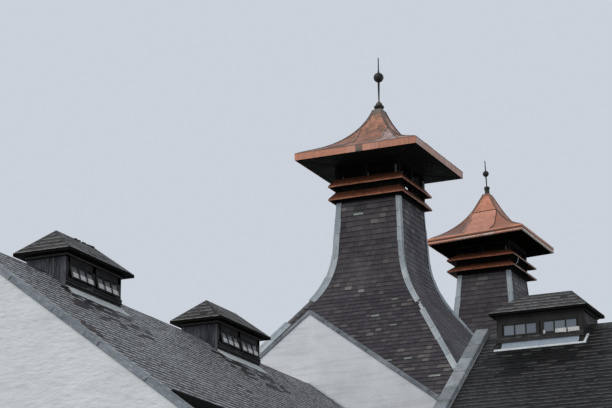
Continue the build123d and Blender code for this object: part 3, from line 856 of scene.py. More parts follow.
# %% Slates of the spires
spire_widths = (0.19, 0.28)
odd_slates = [(Vector(place), tone) for place, tone in (
    ((-0.26, 3.65, 17.27), 1.0), ((-0.81, 2.89, 14.40), 1.0), ((0.85, 1.82, 12.89), 1.0),
    ((1.49, 1.50, 12.44), 0.99), ((2.00, 1.50, 12.45), 0.99), ((2.84, 1.05, 11.81), 1.0),
    ((3.00, 1.05, 11.81), 1.0), ((2.90, 0.95, 11.68), 0.98), ((0.58, 2.62, 14.02), 1.0),
    ((-0.08, 3.22, 14.89), 0.96), ((-0.52, 3.26, 14.96), 0.96), ((1.10, 2.96, 14.49), 0.97),
    ((1.30, 2.30, 13.57), 0.97))]


def spire_tone(point, tone, rng):
    """Odd slates where they are seen, and paler ones towards the foot of the south and north sides."""
    for place, odd_tone in odd_slates:
        if (point - place).length < 0.095:
            return odd_tone
    if rng.random() < 0.004:
        return 0.98
    facing = min(abs(point.y - centre) for centre in kiln_centres) > abs(point.x)
    lower = min(max((14.4 - point.z) / 2.4, 0.0), 1.0)
    upper = min(max(point.z - 16.0, 0.0), 1.0)
    return min(max(tone + (0.14 if facing else -0.22) * lower + 0.16 * upper, 0.05), 0.92)


for kiln, name in enumerate(kiln_names):
    south_end, north_end = spans[kiln]
    for turn, label in enumerate(sides):
        pile = Pile()
        lay_slates(pile, spire_face(kiln, turn), gauge, spire_widths[kiln], random.Random(f"{name}{label}"),
                   tone_at=spire_tone, top=0.0,
                   keep=lambda p: over_main_roof(p, -0.06) and south_end + 0.03 < p.y < north_end - 0.03)
        pile.piece(f"{name}_slates_{label}", spire_slate, "slate")

# %% Slates of the main roof between the spires
def clear_of_spires(point):
    return all(max(abs(point.x - kiln_spots[kiln].x), abs(point.y - kiln_centres[kiln]))
               > spire_half_at(kiln, point.z) - 0.12
               for kiln in range(2))


for side, label in ((1, "east"), (-1, "west")):
    slate_slope(f"kiln_{label}_slates", range_slate, beside_long_ridge, (kiln_roof_south, kiln_roof_north),
                kiln_ridge, kiln_slope, high("kiln_east_roof").x - run_in, side, 31, keep=clear_of_spires)

# %% [markdown]
# Sheet lead covers each hip of the spires: a round roll over the corner with a wing down each side, in
# bays of about half a metre. Each bay laps over the one below it, so its lower edge stands a little
# proud. A ring of points is carried down the hip for each bay. The first joints of the hips that the
# photograph shows well are at measured places, and two stretches have lost their lead.

# %% The section of a lead hip
lead_bay, roll_height = 0.52, 0.05
seen_joints = {("south_kiln", 0): [0.44, 0.92, 1.34, 1.82, 2.22, 2.56, 3.04, 3.54, 3.90, 4.68, 5.18, 5.82],
               ("south_kiln", 3): [0.44, 0.90, 1.56, 2.24, 3.02, 3.30, 3.60, 3.88],
               ("north_kiln", 0): [0.21, 0.75, 1.30], ("north_kiln", 3): [0.73, 1.10, 1.70]}
lost_lead = {("south_kiln", 0): (3.50, 3.92), ("south_kiln", 3): (3.00, 3.90)}


def hip_ring(corner, normal_a, normal_b, tangent, lift, wing, roll, spring=0.0):
    """Section of a lead hip: two wings, whose outer edges spring up a little, a roll between them and
    the underside."""
    out = (normal_a + normal_b).normalized()
    edge, thin = lift + spring, 0.012

    def half(normal, other):
        across = normal.cross(tangent).normalized()
        if across.dot(other) > 0:
            across.negate()
        return [corner + across * wing + normal * (edge - thin), corner + across * wing + normal * edge,
                corner + across * wing * 0.25 + normal * lift,
                corner + across * roll * 0.5 + out * (lift + roll * 0.75)]

    return (half(normal_a, normal_b) + [corner + out * (lift + roll)] + half(normal_b, normal_a)[::-1]
            + [corner - out * 0.02])


def spire_corner(kiln, out_a, out_b, s):
    """Point on a hip and the normals of the two sides that meet there."""
    half, drop, angle = walk_section(sections[kiln], s)
    corner = kiln_spots[kiln] + up * (cap_level - drop) + (out_a + out_b) * half
    return corner, [leaning(out, angle) for out in (out_a, out_b)]


# %% Lead on the hips
def lay_hip(pile, kiln, out_a, out_b, full_wing, end, rng, joints=(), lost=(0.0, 0.0)):
    """Lead bays down a hip, over the joints given first. Between the ends of lost only battens show."""
    spot = 0.0
    joints = [joint for joint in joints if joint < end - 0.1]
    while spot < end - 0.02:
        stop = joints.pop(0) if joints else min(spot + lead_bay * rng.uniform(0.85, 1.15), end)
        steps = max(2, math.ceil((stop - spot) / 0.1) + 1)
        bare = lost[0] < (spot + stop) / 2 < lost[1]
        rings, rises = [], []
        bulk = min(spot / flush_run, 1.0)
        wing = full_wing * rng.uniform(0.92, 1.06) * (0.55 if bare else 1.0)
        tone = rng.uniform(0.38, 0.95)
        for step in range(steps):
            share = step / (steps - 1)
            s = spot + (stop - spot + (0.0 if bare else 0.02)) * share
            corner, normals = spire_corner(kiln, out_a, out_b, s)
            tangent = (spire_corner(kiln, out_a, out_b, s + 0.01)[0] - corner).normalized()
            lift = (0.014 if bare else 0.001 + 0.024 * bulk) + 0.004 * share
            roll = roll_height * (0.3 if bare else bulk)
            ring = hip_ring(corner, *normals, tangent, lift, wing, roll, 0.030 * (1 - bulk))
            rings.append(ring)
            rises += [1 - share] * len(ring)
        pile.tube(rings, rng.choice((0.0, 0.02, 0.9)) if bare else tone, rises)
        spot = stop


def hip_end(kiln, out_a, out_b):
    """Where the hip reaches the main roof or its copings."""
    s = 2.0
    while s < sections[kiln][1][-1]:
        corner = spire_corner(kiln, out_a, out_b, s)[0]
        if not over_main_roof(corner) or not spans[kiln][0] < corner.y < spans[kiln][1]:
            return s
        s += 0.02
    return s


for kiln, name in enumerate(kiln_names):
    pile = Pile()
    for turn in range(4):
        hip = (kiln, outward[turn], outward[(turn + 1) % 4])
        lay_hip(pile, *hip, lead_wings[turn], hip_end(*hip), random.Random(f"hip {name} {turn}"),
                seen_joints.get((name, turn), ()), lost_lead.get((name, turn), (0.0, 0.0)))
    pile.piece(f"{name}_lead_hips", sheet_lead, "slate")

# %% [markdown]
# Ridges of the ranges carry grey ridge stones, each a bent slab about half a metre long. Where the
# long roof meets the kiln gable a strip of lead is dressed up the wall and out over the slates.

# %% Ridge stones
ridge_wing, ridge_thick, ridge_length = 0.16, 0.012, 0.46


def lay_ridge(pile, start, end, slope, rng, skip=(), rise=0.008):
    """Bent slabs along a level ridge. skip lists stretches (from, to) along it that stay bare."""
    along = (end - start).normalized()
    side = along.cross(up)
    total = (end - start).length
    spot = 0.0
    while spot < total - 0.05:
        stop = min(spot + ridge_length, total)
        if not any(a - 0.02 < (spot + stop) / 2 < b + 0.02 for a, b in skip):
            lift = rise + rng.uniform(-0.002, 0.003)
            rings = []
            for s in (spot + 0.003, stop - 0.003):
                crown = start + along * s + up * lift
                rings.append([crown + side * ridge_wing - up * slope * ridge_wing,
                              crown + side * ridge_wing + up * (ridge_thick - slope * ridge_wing),
                              crown + up * (ridge_thick + 0.004),
                              crown - side * ridge_wing + up * (ridge_thick - slope * ridge_wing),
                              crown - side * ridge_wing - up * slope * ridge_wing, crown - up * 0.004])
            pile.tube(rings, rng.uniform(0.1, 0.9))
        spot = stop


rng = random.Random(41)
pile = Pile()
skip = [(box[0].y - range_south_end, box[1].y - range_south_end) for box in lantern_walls[:2]]
lay_ridge(pile, Vector((0, range_south_end, range_ridge)), Vector((0, range_north_end, range_ridge)),
          range_slope, rng, skip)
skip = [(box[0].x - wing_roof_west, box[1].x - wing_roof_west) for box in lantern_walls[2:]]
lay_ridge(pile, Vector((wing_roof_west, wing_axis, wing_ridge)),
          Vector((wing_roof_east, wing_axis, wing_ridge)), wing_slope, rng, skip)
stops = (kiln_roof_south, *kiln_centres, kiln_roof_north)
for first, last in zip(stops, stops[1:]):
    bare = [(c - spire_half_at(k, kiln_ridge) - first, c + spire_half_at(k, kiln_ridge) - first)
            for k, c in enumerate(kiln_centres)]
    lay_ridge(pile, Vector((0, first, kiln_ridge)), Vector((0, last, kiln_ridge)), kiln_slope, rng, bare)
pile.piece("ridge_stones", range_slate, "slate")

# %% Lead where the long roof meets the kiln gable
flash_up, flash_out, flash_thick, flash_bay = 0.03, 0.16, 0.008, 0.9
pile = Pile()
rng = random.Random(43)
south = Vector((0, -1, 0))
crest = Vector((0, range_north_end - gutter + 0.01, range_ridge))
slope_length = (range_east_edge - 0.06) * math.sqrt(1 + range_slope ** 2)
for side in (1, -1):
    down = Vector((side, 0, -range_slope)).normalized()
    normal = Vector((side * range_slope, 0, 1)).normalized()
    spot = 0.0
    while spot < slope_length - 0.1:
        stop = min(spot + flash_bay * rng.uniform(0.9, 1.1), slope_length - 0.05)
        rings = []
        for s, extra in ((spot, 0.0), (stop + 0.03, 0.006)):
            at = crest + down * s + normal * (0.032 + extra)
            rings.append([at + up * flash_up, at + up * flash_up + south * flash_thick,
                          at + south * flash_thick * 2 + normal * flash_thick,
                          at + south * flash_out + normal * flash_thick, at + south * flash_out, at])
        pile.tube(rings, rng.uniform(0.5, 0.95), [1.0] * 6 + [0.0] * 6)
        spot = stop
pile.piece("gable_flashing", sheet_lead, "slate")

# %% [markdown]
# The gables are finished with lead-covered copings, in bays with open joints, and the wing's west one
# is bare stone, rough and mossy. Each run is cut into stones that follow the slope, with worn edges,
# and they take the place of the plain packed copings.

# %% A run of coping stones
coping_height = 0.12


def coping_profile(width, thick):
    """A lead-covered coping across the wall: a drip at each foot, a step and rounded shoulders. Each
    point is (distance in from the outer face, level below the top)."""
    lip, step, shoulder = 0.035, 0.012, 0.02
    half_ring = [(0.0, -thick), (0.0, lip - thick), (step, lip - thick + 0.004), (step, -shoulder),
                 (step + shoulder, 0.0)]
    return half_ring + [(width - depth, level) for depth, level in reversed(half_ring)]


def slope_axes(sideways, side, slope):
    """Down and outward directions of a slope to one side."""
    return (sideways * side - up * slope).normalized(), (sideways * side * slope + up).normalized()


def lay_copings(pile, face_a, face_b, axis_point, half, slope, crown, rng, stone, sideways, first_stops=()):
    """Stones down both slopes of one gable. face_a and face_b are the coping's two sides along the
    wall's thickness, sideways points across the gable, and crown is the top of the coping at the apex.
    first_stops are joints at known distances down the first slope."""
    steep = math.sqrt(1 + slope ** 2)
    total, thick = half * steep, coping_height / steep
    width = (face_b - face_a).length
    into = (face_b - face_a) / width
    for side in (1, -1):
        down, normal = slope_axes(sideways, side, slope)
        spot = 0.0
        known = list(first_stops) if side == 1 else []
        while spot < total - 0.01:
            stop = known.pop(0) if known else min(spot + stone * rng.uniform(0.85, 1.15), total)
            if total - stop < stone * 0.3:
                stop = total
            first = spot == 0.0
            sag = rng.uniform(-0.004, 0.004)
            rings = []
            for s, joint in ((spot, 0.0 if first else 0.004), (stop, -0.004)):
                at = axis_point + up * (crown - axis_point.z) + down * (s + joint)
                ring = []
                for depth, level in coping_profile(width, thick):
                    corner = at + face_a + into * depth + normal * (level + min(sag, 0))
                    if (first and s == spot) or (s == stop and stop == total):
                        # the first and the last end are cut upright
                        level_share = (level + thick) / thick
                        plumb_at = 0.0 if s == spot else half
                        spine = axis_point + sideways * side * plumb_at + face_a + into * depth
                        corner = Vector((spine.x, spine.y,
                                         crown - slope * plumb_at - coping_height * (1 - level_share)))
                    ring.append(corner)
                rings.append(ring)
            pile.tube(rings, rng.uniform(0.15, 0.95), [1.0] * len(rings[0]) + [0.0] * len(rings[1]))
            spot = stop


def lay_arris(pile, face, axis_point, half, slope, crown, sideways, into):
    """A pale strip along the edge of a coping on the slates' side, down both slopes."""
    section = ((0.009, -0.026), (0.009, -0.010), (0.022, 0.003), (0.040, 0.003), (0.030, -0.020))
    stretch = (0.03, half * math.sqrt(1 + slope ** 2) - 0.05)
    for side in (1, -1):
        down, normal = slope_axes(sideways, side, slope)
        rings = [[axis_point + face + up * (crown - axis_point.z) + down * s + into * depth + normal * level
                  for depth, level in section] for s in stretch]
        pile.tube(rings, 0.95)


# %% Copings of the five gables
across, origin = Vector((1, 0, 0)), Vector((0, 0, 0))
kiln_box, range_box, wing_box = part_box("kiln_copings"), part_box("long_range_coping"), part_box("wing_copings")
coping_width, skew_width = range_box[1].y - range_box[0].y, 0.34
rng = random.Random(51)
pile, edges = Pile(), Pile()
faces = [Vector((0, corner.y, 0)) for corner in range_box]
lay_copings(pile, *faces, origin, half_width, range_slope, range_box[1].z, rng, 0.95, across,
            (1.05, 2.30, 3.42, 4.60, 5.78))
lay_arris(edges, faces[1], origin, half_width, range_slope, range_box[1].z, across, Vector((0, -1, 0)))
edges.piece("coping_edge", pale_apron, "coping_stone")
pile.piece("long_range_coping_stones", coping_stone, "coping_stone", ["long_range_coping"], bevel=0.012)
pile = Pile()
for ys in ((kiln_box[0].y, kiln_box[0].y + coping_width), (kiln_box[1].y - coping_width, kiln_box[1].y)):
    lay_copings(pile, *[Vector((0, y, 0)) for y in ys], origin, half_width, kiln_slope, kiln_box[1].z, rng,
                0.95, across)
pile.piece("kiln_coping_stones", coping_stone, "coping_stone", ["kiln_copings"], bevel=0.012)
pile = Pile()
for xs in ((wing_box[0].x, wing_box[0].x + skew_width), (wing_box[1].x - coping_width, wing_box[1].x)):
    lay_copings(pile, *[Vector((x, 0, 0)) for x in xs], Vector((0, wing_axis, 0)), wing_half, wing_slope,
                wing_box[1].z, rng, 0.7, Vector((0, 1, 0)))
pile.piece("wing_coping_stones", skew_stone, "coping_stone", ["wing_copings"], bevel=0.02)

# %% [markdown]
# The caps are the eye-catchers: hollow-curved pyramids of copper sheet. The sheets meet in folded
# seams, which stand up as thin ribs, and rolls cover the hips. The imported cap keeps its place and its
# size, and each sheet here is laid on it as a thin curved panel with its own tone, so the seams fall
# where the photograph shows them. The north cap leans to the west, so what is laid on it is built
# upright and then turned with it.

# %% The hollow curve of a cap
cap_halves, fascia_height = (1.850, 1.617), 0.200
cap_bends, cap_bend_radii = ((0.486, 0.805), (0.710, 0.650)), (2.29, 2.60)
cap_tips = ((0.117, 1.823), (0.086, 1.926))
cap_leans = (0.0, math.radians(-2.4))
cap_middles = [spot + up * cap_level for spot in kiln_spots]
cap_frames = [Matrix.Translation(middle) @ Matrix.Rotation(lean, 4, "Y") @ Matrix.Translation(-middle)
              for middle, lean in zip(cap_middles, cap_leans)]


def cap_section(kiln):
    """Points (half width, rise) from the tip down to the eaves, with their angles and lengths."""
    tip, bend = Vector(cap_tips[kiln]), Vector(cap_bends[kiln])
    foot = Vector((cap_halves[kiln], fascia_height))
    steep = math.atan2(tip.y - bend.y, bend.x - tip.x)
    flat = math.atan2(bend.y - foot.y, foot.x - bend.x)
    return bent_section(tip, bend, foot, (steep, flat), cap_bend_radii[kiln], -1, 12)


cap_sections = [cap_section(kiln) for kiln in range(2)]
print("cap section lengths:", [round(section[1][-1], 2) for section in cap_sections])

# %% Sheets and seams on that curve
def cap_point(kiln, out, u, s, lift=0.0):
    """Point on one side of a cap, where u runs from -1 at the left hip to 1 at the right."""
    half, rise, angle = walk_section(cap_sections[kiln], s)
    return (cap_middles[kiln] + up * rise + out * half + up.cross(out) * (u * half)
            + leaning(out, angle) * lift)


def cap_panel(pile, kiln, out, left, right, start, stop, tone, proud, dents):
    """A sheet between two seam rules (u at s) and two levels. dents is how deep its dents are."""
    rows, columns = 16, 10
    grid = []
    for lift in (0.002, proud):
        for row in range(rows + 1):
            s = start + (stop - start) * row / rows
            a, b = left(s), right(s)
            for column in range(columns + 1):
                part = column / columns
                edge = math.sin(math.pi * part) * math.sin(math.pi * row / rows)
                u = a + (b - a) * part
                dent = dents * edge * (0.5 + math.sin(9.0 * u + 4.0 * tone) * math.sin(6.5 * s + 9.0 * tone))
                grid.append(cap_point(kiln, out, u, s, lift - (dent if lift == proud else 0)))
    top = (rows + 1) * (columns + 1)
    faces = []
    for row in range(rows):
        for column in range(columns):
            a = row * (columns + 1) + column
            b, c, d = a + 1, a + columns + 2, a + columns + 1
            faces += [(a + top, d + top, c + top, b + top), (a, b, c, d)]
    for row in range(rows):
        for column in (0, columns):
            a = row * (columns + 1) + column
            d = a + columns + 1
            faces.append((a, d, d + top, a + top) if column == 0 else (a + top, d + top, d, a))
    for column in range(columns):
        for row in (0, rows):
            a = row * (columns + 1) + column
            faces.append((a, a + top, a + 1 + top, a + 1) if row == 0 else (a, a + 1, a + 1 + top, a + top))
    pile.add(grid, faces, tone)


def seam(pile, kiln, out, rule, start, stop, wide, tall, tone):
    """A standing seam along a rule, which gives u at each s."""
    rings = []
    for step in range(21):
        s = start + (stop - start) * step / 20
        at = cap_point(kiln, out, rule(s), s)
        ahead = cap_point(kiln, out, rule(s + 0.01), s + 0.01)
        normal = (cap_point(kiln, out, rule(s), s, 1.0) - at).normalized()
        side = normal.cross((ahead - at).normalized()).normalized() * wide
        rings.append([at - side, at + side, at + side * 0.7 + normal * tall, at - side * 0.7 + normal * tall])
    pile.tube(rings, tone)


def through(*places):
    """A seam rule through measured places (u, s), from the top down."""
    def rule(s):
        for (u0, s0), (u1, s1) in zip(places, places[1:]):
            if s < s1:
                return u0 + (u1 - u0) * max(s - s0, 0.0) / (s1 - s0)
        return places[-1][0]
    return rule


def plumb(u):
    """A rule at the same share of the width all the way down."""
    return through((u, 0), (u, 3))


# %% [markdown]
# On the south cap a light rib swings down each side, the right one from the hip, where a dark seam
# leaves it like an upturned V with a pale sheet between its legs. The north cap has one dark welt
# across, a pale rib on the left and a dark one on the right. Hidden sides repeat the south one.

# %% Where the sheets and ribs lie
left_hip, right_hip = plumb(-0.985), plumb(0.985)
south_left = through((-0.86, 0.75), (-0.60, 1.04), (-0.39, 1.39), (-0.32, 1.70), (-0.45, 1.90),
                     (-0.50, 2.15), (-0.55, 2.468))
south_rib = through((0.90, 0.85), (0.60, 1.13), (0.49, 1.53), (0.34, 1.95), (0.21, 2.468))
south_leg = through((0.885, 0.858), (0.882, 1.36), (0.75, 2.18), (0.70, 2.468))
strip_edge = through((-0.33, 1.78), (-0.30, 2.468))
north_left = through((-0.93, 0.82), (-0.60, 1.20), (-0.22, 2.369))
north_right = through((0.90, 0.85), (0.62, 1.31), (0.32, 2.369))
# Each sheet: left rule, right rule, from, to, tone, how proud
cap_sheets = (
    ((left_hip, right_hip, 0.01, 0.19, 0.99, 0.010), (left_hip, right_hip, 0.19, 0.86, 0.55, 0.008),
     (south_left, south_rib, 0.86, 2.463, 0.47, 0.008), (left_hip, south_left, 0.86, 2.463, 0.42, 0.008),
     (south_rib, south_leg, 0.87, 2.463, 0.89, 0.012), (south_leg, right_hip, 0.87, 2.463, 0.74, 0.011),
     (south_left, strip_edge, 1.80, 2.463, 0.94, 0.018)),
    ((left_hip, right_hip, 0.01, 0.09, 0.0, 0.012), (left_hip, right_hip, 0.09, 0.81, 0.54, 0.008),
     (north_left, north_right, 0.82, 2.364, 0.74, 0.008), (left_hip, north_left, 0.82, 2.364, 0.14, 0.008),
     (north_right, right_hip, 0.82, 2.364, 0.42, 0.008)))
# Each rib: rule, from, to, half width, height, tone
cap_ribs = (
    ((south_left, 0.75, 2.45, 0.016, 0.034, 0.90), (south_rib, 0.85, 2.45, 0.017, 0.034, 0.90),
     (south_leg, 0.86, 2.45, 0.016, 0.026, 0.0),
     (through((0.972, 0), (0.965, 3)), 0.15, 2.0, 0.014, 0.020, 0.04)),
    ((north_left, 0.82, 2.35, 0.016, 0.034, 0.88), (north_right, 0.85, 2.35, 0.016, 0.030, 0.0),
     (plumb(0.965), 0.15, 2.2, 0.016, 0.020, 0.0)))
cap_welts, cap_dents = ((), (0.815,)), (0.010, 0.005)
hip_tones = ((0.06, 0.10, 0.10, 0.03), (0.08, 0.30, 0.25, 0.06))

# %% Copper sheets, ribs and hip rolls
welt_section = ((-0.017, 0.0), (0.017, 0.0), (0.014, 0.022), (-0.014, 0.018))


def hip_roll(kiln, out_a, out_b):
    """Rings of the roll down a cap's hip, which tapers towards the eaves."""
    section, total = cap_sections[kiln], cap_sections[kiln][1][-1]
    diagonal = out_a + out_b
    rings = []
    for step in range(26):
        s = 0.04 + (total - 0.04) * step / 25
        half, rise, angle = walk_section(section, s)
        corner = cap_middles[kiln] + up * rise + diagonal * half
        ahead_half, ahead_rise, _ = walk_section(section, min(s + 0.02, total + 0.01))
        before_half, before_rise, _ = walk_section(section, max(s - 0.02, 0))
        tangent = (diagonal * (ahead_half - before_half) + up * (ahead_rise - before_rise)).normalized()
        inset = diagonal * -0.03 if s > total - 0.03 else Vector()
        roll = 0.026 * (1 - 0.65 * s / total)
        rings.append(hip_ring(corner + inset, leaning(out_a, angle), leaning(out_b, angle), tangent,
                              0.010, 0.055, roll))
    return rings


for kiln, name in enumerate(kiln_names):
    sheets, ribs = Pile(), Pile()
    for out in outward:
        for sheet in cap_sheets[kiln]:
            cap_panel(sheets, kiln, out, *sheet, cap_dents[kiln])
        for rib in cap_ribs[kiln]:
            seam(ribs, kiln, out, *rib)
        for crossing in cap_welts[kiln]:
            ribs.tube([[cap_point(kiln, out, -0.98 + 1.96 * step / 8, crossing + d, lift)
                        for d, lift in welt_section] for step in range(9)], 0.02)
    for turn in range(4):
        ribs.tube(hip_roll(kiln, outward[turn], outward[(turn + 1) % 4]), hip_tones[kiln][turn])
    for pile, label in ((sheets, "sheets"), (ribs, "seams")):
        pile.move(cap_frames[kiln])
        pile.piece(f"{name}_cap_{label}", (cap_copper, new_copper)[kiln], "copper", smooth_below=35)

# %% [markdown]
# A copper fascia runs round each cap. On the south cap it is one plain band with lapped joints and one
# dull green patch, with a thin dark strip along its top that is painted shadow under the cap's drip
# edge, and on the north cap it is a double roll with a dark groove. Both are bent from bright, newer
# copper.

# %% Copper fascias
def band(pile, kiln, section, rng, tones, sheet=0.92, patches=()):
    """Copper strips round a cap. section lists (distance out from the fascia, height), tones has the
    least and greatest tone of each side, and patches holds (side, from, to)."""
    half = cap_halves[kiln]

    def ring(out, u, extra=0.0):
        along = up.cross(out)
        return [cap_middles[kiln] + out * (half + d + extra) + up * z
                + along * (math.copysign(half + d, u) if abs(u) > half - 0.001 else u) for d, z in section]

    for turn, out in enumerate(outward):
        spot = -half
        while spot < half - 0.01:
            stop = spot + sheet * rng.uniform(0.85, 1.15)
            if half - stop < 0.2:
                stop = half
            pile.tube([ring(out, spot), ring(out, stop)], rng.uniform(*tones[turn]),
                      [1.0] * len(section) + [0.0] * len(section))
            spot = stop
        for side, start, end in patches:
            if side == turn:
                pile.tube([ring(out, start, 0.005), ring(out, end, 0.005)], 1.0)


def strip(low_z, high_z, front, back=0.006, bead=0.0):
    """Section of a band, with its front edges rounded off by bead."""
    if not bead:
        return [(-back, low_z), (front, low_z), (front, high_z), (-back, high_z)]
    return [(-back, low_z), (front - bead, low_z), (front, low_z + bead), (front, high_z - bead),
            (front - bead, high_z), (-back, high_z)]


orange, pink, painted_drip_shadow = (0.50, 0.75), (0.80, 0.92), (0.0, 0.06)
pile, rng = Pile(), random.Random(61)
# The thin dark strip along the top of the south fascia is painted shadow under the cap's drip edge
band(pile, 0, strip(0.188, fascia_height + 0.004, 0.010), rng, (painted_drip_shadow,) * 4)
band(pile, 0, strip(-0.002, 0.188, 0.007), rng, (orange, pink, orange, orange), patches=[(0, 0.03, 0.24)])
pile.piece("south_kiln_fascia", edge_copper, "copper")
pile, rng = Pile(), random.Random(62)
band(pile, 1, strip(-0.003, 0.086, 0.026, bead=0.018), rng, ((0.70, 0.93), (0.96, 0.98), orange, orange),
     sheet=0.45)
band(pile, 1, strip(0.086, 0.112, 0.006), rng, ((0.0, 0.02),) * 4)
band(pile, 1, strip(0.112, fascia_height + 0.008, 0.028, bead=0.018), rng,
     ((0.45, 0.80), (0.60, 0.85), orange, orange))
pile.move(cap_frames[1])
pile.piece("north_kiln_fascia", edge_copper, "copper", smooth_below=50)

# %% [markdown]
# Under each cap the vent is an open frame of tarred posts, near-black partly from the tar and partly as
# painted shade. Louvre boards stand back between them, and two flared copper skirts throw the rain
# clear. On the south kiln one bay of louvres has fallen out, and one board between the skirts is short,
# so a spot of sky shows through, as in the photograph.

# %% Soffit boards
vent_out, post_size, kerb_size, skirt_rise = 0.017, 0.12, 0.09, 0.20
skirt_drops = ((0.704, 1.094), (0.557, 0.931))
vent_halves = [half + vent_out for half in neck_halves]
soffit_boards, board_gap = 7, 0.004
for kiln, name in enumerate(kiln_names):
    pile = Pile()
    rng = random.Random(f"soffit {name}")
    width = (cap_halves[kiln] - 0.045 - vent_halves[kiln]) / soffit_boards
    section = ((-width / 2 + board_gap, -0.020), (width / 2 - board_gap, -0.020),
               (width / 2 - board_gap, 0.0), (-width / 2 + board_gap, 0.0))
    for out in outward:
        along = up.cross(out)
        for index in range(soffit_boards):
            d = vent_halves[kiln] + width * (index + 0.5)
            middle = cap_middles[kiln] + out * d
            pile.tube([[middle + along * u + out * o + up * z for o, z in section] for u in (-d, d)],
                      rng.uniform(0.1, 0.9))
    pile.move(cap_frames[kiln])
    pile.piece(f"{name}_soffit_boards", (tarred_and_painted_shade_board, green_tarred_and_painted_shade_board)[kiln], "cap_timber")

# %% Louvres and the boards between the skirts
louvre_pitch, louvre_deep, louvre_thick, louvre_back = 0.062, 0.085, 0.012, 0.030
louvre_section = (Vector((0, 0)), Vector((-louvre_deep, louvre_deep)),
                  Vector((-louvre_deep, louvre_deep + louvre_thick)), Vector((0, louvre_thick)))
# Both are (kiln, side, bay)
fallen_bay, short_board, short_end = (0, 2, -1), (0, 1, -1), -0.39
for kiln, name in enumerate(kiln_names):
    pile = Pile()
    rng = random.Random(f"louvres {name}")
    vent_half = vent_halves[kiln]
    spacing = vent_half - post_size / 2
    gap = (cap_level - skirt_drops[kiln][1] + skirt_rise, cap_level - skirt_drops[kiln][0])
    opening = (cap_level - skirt_drops[kiln][0] + skirt_rise, cap_level - kerb_size - (0.04 if kiln else 0.0))
    board_section = ((0, gap[0]), (0, gap[1]), (-0.02, gap[1]), (-0.02, gap[0]))
    for turn, out in enumerate(outward):
        along = up.cross(out)
        for bay in (-1, 1):
            near, far = sorted((bay * post_size / 2, bay * (spacing - post_size / 2)))
            z = opening[0] + 0.01
            while z + louvre_deep < opening[1] + 0.02 and (kiln, turn, bay) != fallen_bay:
                front = kiln_spots[kiln] + out * (vent_half - louvre_back) + up * z
                pile.tube([[front + along * u + out * d.x + up * min(d.y, opening[1] - z)
                            for d in louvre_section] for u in (near, far)], rng.uniform(0.0, 1.0))
                z += louvre_pitch
            if (kiln, turn, bay) == short_board:
                far = short_end
            back = kiln_spots[kiln] + out * (vent_half - 0.06)
            pile.tube([[back + along * u + out * d + up * z for d, z in board_section] for u in (near, far)],
                      rng.uniform(0.0, 1.0))
    pile.piece(f"{name}_louvres", tarred_and_painted_shade_board, "cap_timber")

# %% Pale strips that paint glints on the vent posts, and a lead strap between the north kiln's skirts
# Each strip, a painted glint: share of the half width, its width, share of the opening's height, tone
glint_strips = ((-0.75, 0.012, 0.3, 0.5), (0.04, 0.014, 0.35, 0.6), (0.90, 0.024, 0.75, 0.9))
pile = Pile()
for kiln, vent_half in enumerate(vent_halves):
    low_z, high_z = cap_level - skirt_drops[kiln][0] + skirt_rise, cap_level - kerb_size - 0.06
    for out in outward:
        along = up.cross(out)
        for share, wide, tall, tone in glint_strips:
            foot = kiln_spots[kiln] + along * (share * vent_half) + out * (vent_half - 0.02)
            pile.beam(foot + up * low_z, foot + up * (low_z + (high_z - low_z) * tall), along * wide,
                      out * 0.024, tone)
pile.piece("vent_glint_strips", weather_board_and_glints, "cap_timber")
pile = Pile()
strap = [Vector(place) for place in ((1.085, 13.62, 18.250), (1.100, 13.63, 18.20), (1.060, 13.66, 18.10),
                                     (1.000, 13.68, 18.02), (0.960, 13.69, 17.96))]
strap_section = ((-0.004, -0.016), (0.004, -0.016), (0.004, 0.016), (-0.004, 0.016))
pile.tube([[at + Vector((dx, dy, 0)) for dx, dy in strap_section] for at in strap], 0.95)
pile.piece("north_kiln_strap", sheet_lead, "copper")

# %% Copper sheets and folded lips of the skirts
skirt_edge, sheet_thick, lip_size = 0.04, 0.004, 0.014
# Each skirt: least and greatest tone of its sheets, tone of its lip
skirt_looks = (((0.45, 0.80, 0.95), (0.45, 0.75, 0.95)), ((0.60, 0.98, 0.99), (0.10, 0.50, 0.99)))
for kiln, name in enumerate(kiln_names):
    sheets, lips = Pile(), Pile()
    vent_half = vent_halves[kiln]
    skirt_half = high(f"{name}_vent_skirts").x - kiln_spots[kiln].x
    section = ((skirt_half + sheet_thick, 0.0), (skirt_half + sheet_thick, skirt_edge + sheet_thick),
               (vent_half + sheet_thick, skirt_edge + skirt_rise + sheet_thick),
               (vent_half + sheet_thick, skirt_edge + skirt_rise),
               (skirt_half, skirt_edge), (skirt_half, 0.0))
    lip_section = ((skirt_half + 0.010, -0.003), (skirt_half + 0.010, lip_size),
                   (skirt_half - 0.012, lip_size), (skirt_half - 0.012, -0.003))
    for drop, (least, most, lip_tone) in zip(skirt_drops[kiln], skirt_looks[kiln]):
        rng = random.Random(f"skirt {name} {drop}")
        edge = kiln_spots[kiln] + up * (cap_level - drop)
        for turn, out in enumerate(outward):
            along = up.cross(out)
            cuts = [-1.0, rng.uniform(-0.45, -0.25), rng.uniform(0.2, 0.45), 1.0]
            for start, stop in zip(cuts, cuts[1:]):
                sheets.tube([[edge + out * d + up * z + along * (u * d if abs(u) == 1 else u * skirt_half)
                              for d, z in section] for u in (start, stop)],
                            rng.uniform(least, most), [0.0, 0.15, 1.0, 1.0, 0.15, 0.0] * 2)
            tone = lip_tone if turn == 1 or kiln == 0 else 0.7
            lips.tube([[edge + out * d + up * z + along * (side * d) for d, z in lip_section]
                       for side in (-1, 1)], tone)
    sheets.piece(f"{name}_skirt_sheets", skirt_sheet, "copper")
    lips.piece(f"{name}_skirt_lips", skirt_copper, "copper")

